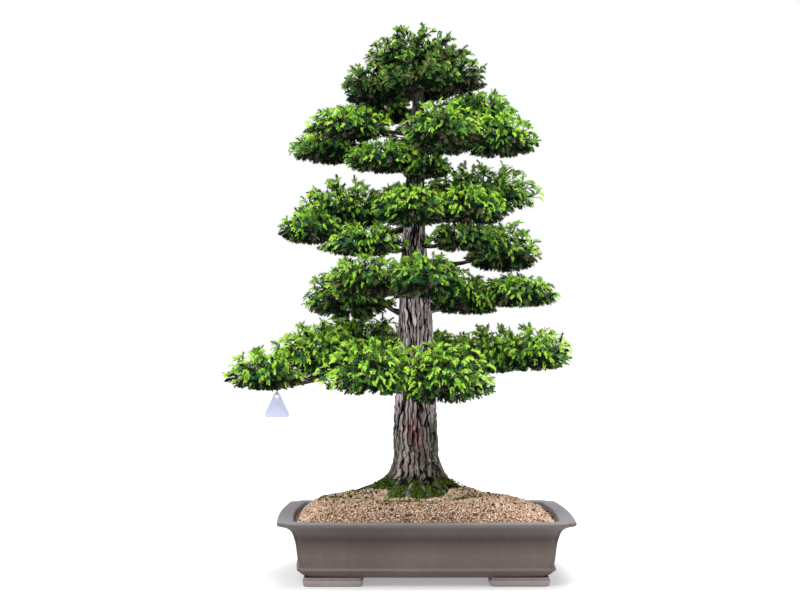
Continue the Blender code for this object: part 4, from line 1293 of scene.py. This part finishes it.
SOIL_EDGE = 0.1135
SEAT_HEIGHT = 0.1497
SEAT_HALF_LENGTH = 0.178
SEAT_HALF_DEPTH = 0.104
HEAP_STEEPNESS = 2.2
HEAP_BULGE = 0.0015
LEFT_BULGE = 0.0035
GRAIN_SPACING = 0.0034
BED_DROP = 0.0022
BED_STEPS = 40
BED_GAP = 0.0006

# The pot's inner wall: its (inset, height) at the top and at the waist, and its inset at the floor.
WALL_TOP = (0.0290, 0.1195)
WALL_LOW = (0.0400, 0.0950)
WALL_FOOT = 0.0460

# The grains: where they lie, how big they are and how many.
GRAIN_FROM_WALL = 0.002
GRAIN_UNDER_FLARE = 0.004
GRAIN_SUNK = -0.6
FLARE_GRAIN_RAISED = 0.1
GRAIN_LEVELS = 0.55
GRAIN_SIZE = (0.0016, 0.0027)
BIG_GRAIN = 1.3
BIG_SHARE = 0.05
GRAIN_SHARES = (0.43, 0.25, 0.19, 0.10, 0.03)
FLARE_GRAINS = 3600
FLARE_GRAIN_TOP = 0.016
FLARE_GRAIN_LEAST = 0.0022
FLARE_GRAIN_OUT = 0.001

# The height at which grains and moss meet the flare.
MEETING_HEIGHT = 0.1505


def wall_inset(height):
    """How far the pot's inner wall is drawn in at this height."""
    (top_inset, top), (low_inset, low) = WALL_TOP, WALL_LOW
    return top_inset + (top - height) * (low_inset - top_inset) / (top - low)


def soil_height(x, y):
    """The heap: from the seat under the trunk down to the wall."""
    half_x = POT_LENGTH / 2 - wall_inset(SOIL_EDGE)
    half_y = POT_DEPTH / 2 - wall_inset(SOIL_EDGE)
    seat = np.hypot((x - TRUNK_X) / SEAT_HALF_LENGTH, y / SEAT_HALF_DEPTH)
    edge = np.maximum(np.abs(x) / half_x, np.abs(y) / half_y)
    share = clamp((seat - 1) / np.maximum(seat - 1 + (1 - edge) * HEAP_STEEPNESS, 1e-6))
    share = np.where(seat <= 1, 0.0, share)
    fullness = HEAP_BULGE + LEFT_BULGE * np.maximum(0.0, -x / half_x)
    return SEAT_HEIGHT + (SOIL_EDGE - SEAT_HEIGHT) * share + np.sin(math.pi * share) * fullness


def grain_line(turn):
    """How high the loose grains lie against the flare, round the trunk."""
    drift = stem_noise(turn, np.zeros_like(turn), 14, 1.0, SEED + 201, 2)
    heaped = 1.5 * drift + 0.7 * bump_at(turn, 222, 0.35) - 0.6 * bump_at(turn, 266, 0.42) - 0.30
    least = FLARE_GRAIN_LEAST * (1 - bump_at(turn, 264, 0.55))
    return TRUNK_FOOT + np.maximum(FLARE_GRAIN_TOP * heaped, least)


def make_bed(finish):
    """The bed under the loose grains, filled down to the pot's floor."""
    edge = plan_ring(wall_inset(SOIL_EDGE) + BED_GAP, SOIL_EDGE, CAVITY_CORNER, False)
    centre = np.array([TRUNK_X, 0.0, SEAT_HEIGHT])
    rings = [
        plan_ring(WALL_FOOT + BED_GAP, FLOOR_TOP + BED_GAP, CAVITY_CORNER, False),
        plan_ring(WALL_LOW[0] + BED_GAP, WALL_LOW[1], CAVITY_CORNER, False),
        edge,
    ]
    for share in np.linspace(0, 1, BED_STEPS)[1:-1]:
        ring = edge + (centre - edge) * share
        ring[:, 2] = soil_height(ring[:, 0], ring[:, 1]) - BED_DROP
        rings.append(ring)
    show("grit_bed", rings_mesh(rings), [finish], ["soil"])


def bed_places(draw):
    """x and y of the grains that lie on the bed, one for each cell of a grid, outside the trunk."""
    half_x = POT_LENGTH / 2 - wall_inset(SOIL_EDGE) - GRAIN_FROM_WALL
    half_y = POT_DEPTH / 2 - wall_inset(SOIL_EDGE) - GRAIN_FROM_WALL
    xs = np.arange(-half_x, half_x, GRAIN_SPACING)
    ys = np.arange(-half_y, half_y, GRAIN_SPACING)
    x, y = (axis.ravel() for axis in np.meshgrid(xs, ys))
    x = x + draw.uniform(-0.5, 0.5, len(x)) * GRAIN_SPACING
    y = y + draw.uniform(-0.5, 0.5, len(y)) * GRAIN_SPACING
    off_x = np.maximum(np.abs(x) - (half_x - CAVITY_CORNER), 0)
    off_y = np.maximum(np.abs(y) - (half_y - CAVITY_CORNER), 0)
    inside = np.hypot(off_x, off_y) < CAVITY_CORNER - 0.001
    turn = np.arctan2(y, x - TRUNK_X)
    flare = trunk_reach(np.full_like(x, MEETING_HEIGHT), turn)
    inside &= np.hypot(x - TRUNK_X, y) > flare - GRAIN_UNDER_FLARE
    return x[inside], y[inside]


def flare_places(draw):
    """x, y and z of the grains that lie against the flare."""
    turn = draw.uniform(0, math.tau, FLARE_GRAINS)
    height = TRUNK_FOOT + FLARE_GRAIN_TOP * draw.random(FLARE_GRAINS) ** 1.2
    lying = height < grain_line(turn)
    turn, height = turn[lying], height[lying]
    return (*round_trunk(trunk_reach(height, turn) + FLARE_GRAIN_OUT, turn), height)


def turned(points, angle, first, second):
    """Points turned by an angle each, from their first axis towards their second."""
    cos, sin = np.cos(angle)[:, None], np.sin(angle)[:, None]
    result = points.copy()
    result[..., first] = points[..., first] * cos - points[..., second] * sin
    result[..., second] = points[..., first] * sin + points[..., second] * cos
    return result


def make_grains(finishes):
    """Loose angular grains of grit, in several tones."""
    draw = np.random.default_rng(SEED + 200)
    bed_x, bed_y = bed_places(draw)
    flare_x, flare_y, flare_z = flare_places(draw)
    x, y = np.append(bed_x, flare_x), np.append(bed_y, flare_y)
    z = np.append(soil_height(bed_x, bed_y), flare_z)
    count = len(x)
    size = draw.uniform(*GRAIN_SIZE, count) * np.where(draw.random(count) < BIG_SHARE, BIG_GRAIN, 1.0)
    sunk = np.repeat([GRAIN_SUNK, FLARE_GRAIN_RAISED], [len(bed_x), len(flare_x)])
    z = z + size * (sunk + draw.uniform(-GRAIN_LEVELS, GRAIN_LEVELS, count))
    directions = np.array([(1, 0, 0), (0, 1, 0), (-1, 0, 0), (0, -1, 0), (0, 0, 1), (0, 0, -1)], float)
    faces = [(0, 1, 4), (1, 2, 4), (2, 3, 4), (3, 0, 4), (1, 0, 5), (2, 1, 5), (3, 2, 5), (0, 3, 5)]
    yaw = draw.uniform(0, math.tau, count)
    tilt = draw.uniform(-0.9, 0.9, count)
    shape = directions * draw.uniform(0.65, 1.15, (count, 6, 1)) + draw.normal(size=(count, 6, 3)) * 0.10
    shape = turned(turned(shape, tilt, 0, 2), yaw, 0, 1)
    points = np.stack([x, y, z], -1)[:, None, :] + shape * size[:, None, None]
    tone = 1 + draw.choice(len(GRAIN_SHARES), count, p=GRAIN_SHARES)
    mesh = array_mesh(points, repeated(faces, count, 6), np.repeat(tone, len(faces)))
    show("grit_grains", mesh, finishes, ["soil"])


SCRAP_COUNT = 130
SCRAP_THICKNESS = 0.0010
SCRAP_OUTLINE = ((-1, -0.6), (-0.3, -1), (1, -0.3), (0.7, 0.6), (-0.6, 1))


def make_scraps(finish):
    """Flat dark flakes of bark that lie on the grit, most of them near the trunk."""
    draw = np.random.default_rng(SEED + 230)
    turn = draw.uniform(0, math.tau, SCRAP_COUNT)
    reach = 0.085 + 0.130 * draw.random(SCRAP_COUNT) ** 1.6
    x = TRUNK_X + reach * np.cos(turn) * 1.25
    y = reach * np.sin(turn) * 0.82
    base = np.stack([x, y, soil_height(x, y) + SCRAP_THICKNESS], -1)
    heading = draw.uniform(0, math.tau, SCRAP_COUNT)
    along = np.stack([np.cos(heading), np.sin(heading), draw.uniform(-0.25, 0.25, SCRAP_COUNT)], -1)
    across = np.stack([-np.sin(heading), np.cos(heading), draw.uniform(-0.6, 0.6, SCRAP_COUNT)], -1)
    length = draw.uniform(0.0030, 0.0085, (SCRAP_COUNT, 1))
    width = draw.uniform(0.0012, 0.0028, (SCRAP_COUNT, 1))
    corners = []
    for lift in (-SCRAP_THICKNESS, SCRAP_THICKNESS):
        for end, side in SCRAP_OUTLINE:
            corners.append(base + along * length * end * 0.5 + across * width * side + UP * lift)
    points = np.stack(corners, 1).reshape(-1, 3)
    faces = [(0, 2, 1), (0, 3, 2), (0, 4, 3), (5, 6, 7), (5, 7, 8), (5, 8, 9)]
    for corner in range(5):
        after = (corner + 1) % 5
        faces += [(corner, after, after + 5), (corner, after + 5, corner + 5)]
    show("bark_scraps", array_mesh(points, repeated(faces, SCRAP_COUNT, 10)), [finish], ["soil"])


GRIT_TONES = {
    # The bed's dark brown is painted shade in the gaps between the grains.
    "grit_bed": ((0.110, 0.068, 0.045), (0.260, 0.165, 0.110)),
    "grit_tan": ((0.440, 0.280, 0.175), (0.680, 0.460, 0.300)),
    "grit_pink": ((0.500, 0.320, 0.235), (0.720, 0.520, 0.400)),
    "grit_pale": ((0.700, 0.560, 0.440), (0.880, 0.780, 0.650)),
    "grit_brown": ((0.170, 0.098, 0.060), (0.300, 0.185, 0.115)),
    "grit_char": ((0.018, 0.015, 0.014), (0.055, 0.048, 0.043)),
}


# ---- moss at the trunk's foot ----

MOSS_COUNT = 9000
MOSS_ON_FLARE = 0.75
MOSS_CLIMB = 0.046
MOSS_SPILL = 0.024
MOSS_LEAST = 0.25
PATCH_LEAST = 0.76
BLADES = 4
BLADE_HALF_WIDTH = 0.0008
BLADE_LENGTH = (0.0018, 0.0040)
MOSS_SHARES = (0.42, 0.34, 0.24)
MOSS_TONES = {
    "moss_dark": (0.026, 0.070, 0.010),
    "moss_olive": (0.110, 0.150, 0.022),
    "moss_bright": (0.190, 0.340, 0.026),
}


def make_moss():
    """Small upright moss leaves on the root flare and over the grit beside it."""
    draw = np.random.default_rng(SEED + 300)
    turn = draw.uniform(0, math.tau, MOSS_COUNT)
    on_flare = draw.random(MOSS_COUNT) < MOSS_ON_FLARE
    height = MEETING_HEIGHT + MOSS_CLIMB * draw.random(MOSS_COUNT) ** 1.5
    spill = np.where(on_flare, 0.0, MOSS_SPILL * draw.random(MOSS_COUNT) ** 1.1)
    reach = trunk_reach(np.where(on_flare, height, MEETING_HEIGHT), turn) + spill
    patch = stem_noise(turn, reach, 18, 0.014, SEED + 301, 30)
    bare_of_grains = (height > grain_line(turn) + 0.0002) | (patch > PATCH_LEAST)
    growing = (moss_cover(turn, height) > MOSS_LEAST) & bare_of_grains
    kept = np.where(on_flare, growing, patch > PATCH_LEAST + 2.0 * spill)
    turn, height, reach, on_flare = turn[kept], height[kept], reach[kept], on_flare[kept]
    x, y = round_trunk(reach, turn)
    base = np.stack([x, y, np.where(on_flare, height, soil_height(x, y) + BLADE_HALF_WIDTH)], -1)
    outward_lean = np.stack([np.cos(turn), np.sin(turn), np.full_like(turn, 1.3)], -1)
    count = len(base)
    points = []
    for _ in range(BLADES):
        heading = unit(outward_lean + draw.normal(size=(count, 3)) * 0.75)
        across = unit(np.cross(heading, draw.normal(size=(count, 3)))) * BLADE_HALF_WIDTH
        length = draw.uniform(*BLADE_LENGTH, (count, 1))
        points += [base - across, base + across, base + heading * length]
    faces = np.arange(3 * BLADES).reshape(-1, 3)
    tone = draw.choice(len(MOSS_SHARES), count, p=MOSS_SHARES)
    mesh = array_mesh(np.stack(points, 1), repeated(faces, count, 3 * BLADES), np.repeat(tone, BLADES))
    finishes = [needle_material(*tone, MOSS_ROUGHNESS, NEEDLE_SHINE) for tone in MOSS_TONES.items()]
    show("moss", mesh, finishes, [])


# ---- the tag ----

TAG_X = -0.2845
TAG_TOP = 0.3520
TAG_WIDTH = 0.047
TAG_HEIGHT = 0.049
TAG_THICKNESS = 0.0016
TAG_CORNER = 0.006
HOLE_RADIUS = 0.0030
HOLE_DROP = 0.0085
HOLE_SIDES = 32
SHARP_PLASTIC = 40
LINK_RADIUS = 0.0007
LINK_SLACK = 0.0012
LINK_STEPS = 64
LINK_SIDES = 10
LINK_PINCH = 0.0016
LINK_TUCK = 1.4

# The tag's rounded edge, as inset and share of half its thickness.
TAG_PROFILE = ((0.0007, -1), (0.0002, -0.75), (0.0, 0.0), (0.0002, 0.75), (0.0007, 1))


def tag_outline(inset, steps=16):
    """The tag's rounded triangle as x and z from the middle of its top."""
    half = TAG_WIDTH / 2 - TAG_CORNER
    corners = ((0.0, -TAG_CORNER), (-half, TAG_CORNER - TAG_HEIGHT), (half, TAG_CORNER - TAG_HEIGHT))
    points = []
    for first_turn, (x, z) in zip((30, 150, 270), corners):
        for step in range(steps + 1):
            turn = math.radians(first_turn + step * 120 / steps)
            reach = TAG_CORNER - inset
            points.append((x + reach * math.cos(turn), z + reach * math.sin(turn)))
    return np.array(points)


def make_tag(plastic, wire):
    """A blank triangular plate with a rounded edge and a hole, on a wire loop round the bough."""
    points, radii = bough_route("base_left_tip", 6)
    after = next(i for i, point in enumerate(points) if point[0] < TAG_X)
    share = (points[after - 1][0] - TAG_X) / (points[after - 1][0] - points[after][0])
    hanger = points[after - 1] + (points[after] - points[after - 1]) * share
    limb_radius = radii[after - 1] + (radii[after] - radii[after - 1]) * share
    half = TAG_THICKNESS / 2
    rings = []
    for inset, depth in TAG_PROFILE:
        x, z = tag_outline(inset).T
        rings.append(np.column_stack([TAG_X + x, np.full(len(x), hanger[1] + half * depth), TAG_TOP + z]))
    plate = show("tag_plate", rings_mesh(rings), [plastic], ["hang_tag"])
    place = (TAG_X, hanger[1], TAG_TOP - HOLE_DROP)
    bored(plate, HOLE_SIDES, HOLE_RADIUS, 0.02, place, (math.pi / 2, 0, 0), SHARP_PLASTIC)
    width = limb_radius + LINK_RADIUS + LINK_SLACK
    top = hanger[2] + width
    bottom = TAG_TOP - HOLE_DROP + HOLE_RADIUS - LINK_RADIUS * LINK_TUCK
    turn = turns(LINK_STEPS)
    pinch = 0.5 + 0.5 * np.tanh((np.sin(turn) + 0.55) * 2.6)
    loop = np.stack([
        np.full_like(turn, TAG_X),
        hanger[1] + np.cos(turn) * (width * pinch + LINK_PINCH * (1 - pinch)),
        (top + bottom) / 2 + (top - bottom) / 2 * np.sin(turn),
    ], -1)
    tangent = unit(np.roll(loop, -1, axis=0) - np.roll(loop, 1, axis=0))
    sideways = np.array([1.0, 0, 0])
    over = unit(np.cross(sideways, tangent))
    around = turns(LINK_SIDES)[None, :, None]
    ring = np.cos(around) * sideways + np.sin(around) * over[:, None, :]
    tube = (loop[:, None, :] + ring * LINK_RADIUS).reshape(-1, 3)
    mesh = array_mesh(tube, grid_triangles(LINK_STEPS + 1, LINK_SIDES) % len(tube), smooth=True)
    show("tag_wire", mesh, [wire], ["hang_tag"])


# ---- camera, light and floor ----

FOCAL_PIXELS = 1396.0
PHOTO_WIDTH = 800.0
SENSOR = 36.0
CAMERA_FROM_POT = (-0.0632, -2.71, 0.452)
PIXELS_UP = 34.5
PIXELS_RIGHT = 8
LOOK_UP = math.atan(PIXELS_UP / FOCAL_PIXELS)
LOOK_RIGHT = math.atan(PIXELS_RIGHT / FOCAL_PIXELS)


def make_camera():
    lens = bpy.data.cameras.new("camera")
    lens.sensor_width = SENSOR
    lens.lens = FOCAL_PIXELS * SENSOR / PHOTO_WIDTH
    lens.clip_end = 100
    camera = bpy.data.objects.new("camera", lens)
    camera.location = Vector(POT_MIDDLE) + Vector(CAMERA_FROM_POT)
    camera.rotation_euler = (math.pi / 2 + LOOK_UP, 0, -LOOK_RIGHT)
    bpy.context.scene.collection.objects.link(camera)
    bpy.context.scene.camera = camera


def add_area(name, place, target, size, power):
    light = bpy.data.lights.new(name, "AREA")
    light.shape = "DISK"
    light.size = size
    light.energy = power
    lamp = bpy.data.objects.new(name, light)
    lamp.location = place
    lamp.rotation_euler = (Vector(target) - Vector(place)).to_track_quat("-Z", "Y").to_euler()
    bpy.context.scene.collection.objects.link(lamp)


def make_studio():
    world = bpy.data.worlds.new("studio")
    world.use_nodes = True
    background = world.node_tree.nodes["Background"]
    background.inputs["Color"].default_value = (1.0, 1.0, 1.0, 1.0)
    background.inputs["Strength"].default_value = 1.0
    bpy.context.scene.world = world
    add_area("key", (-1.6, -2.4, 3.2), (0, 0, 0.6), 1.6, 75.0)
    add_area("top", (0.3, -0.2, 3.4), (0, 0, 0.5), 2.0, 110.0)
    bpy.ops.mesh.primitive_circle_add(vertices=64, radius=30.0, fill_type="NGON")
    floor = bpy.context.object
    floor.name = "floor"
    floor.data.materials.append(floor_material())
    bpy.context.scene.view_settings.view_transform = "Standard"


def main():
    make_camera()
    make_studio()
    bark = bark_material()
    stoneware = stoneware_material()
    make_pot(stoneware)
    make_feet(stoneware)
    grit = [two_tone(name, *tones) for name, tones in GRIT_TONES.items()]
    make_bed(grit[0])
    make_grains(grit)
    make_scraps(grit[-1])
    make_trunk(bark)
    for index, name in enumerate(BOUGHS):
        make_bough(name, index, bark)
    make_foliage()
    make_moss()
    plastic = two_tone("tag_plastic", *TAG_TONES, 0.32, 0.5, 70.0, 3.0, (0.15, 0.0004))
    wire = two_tone("tag_wire", *WIRE_TONES, 0.45, 0.5, 500.0, 2.0, None)
    make_tag(plastic, wire)


main()
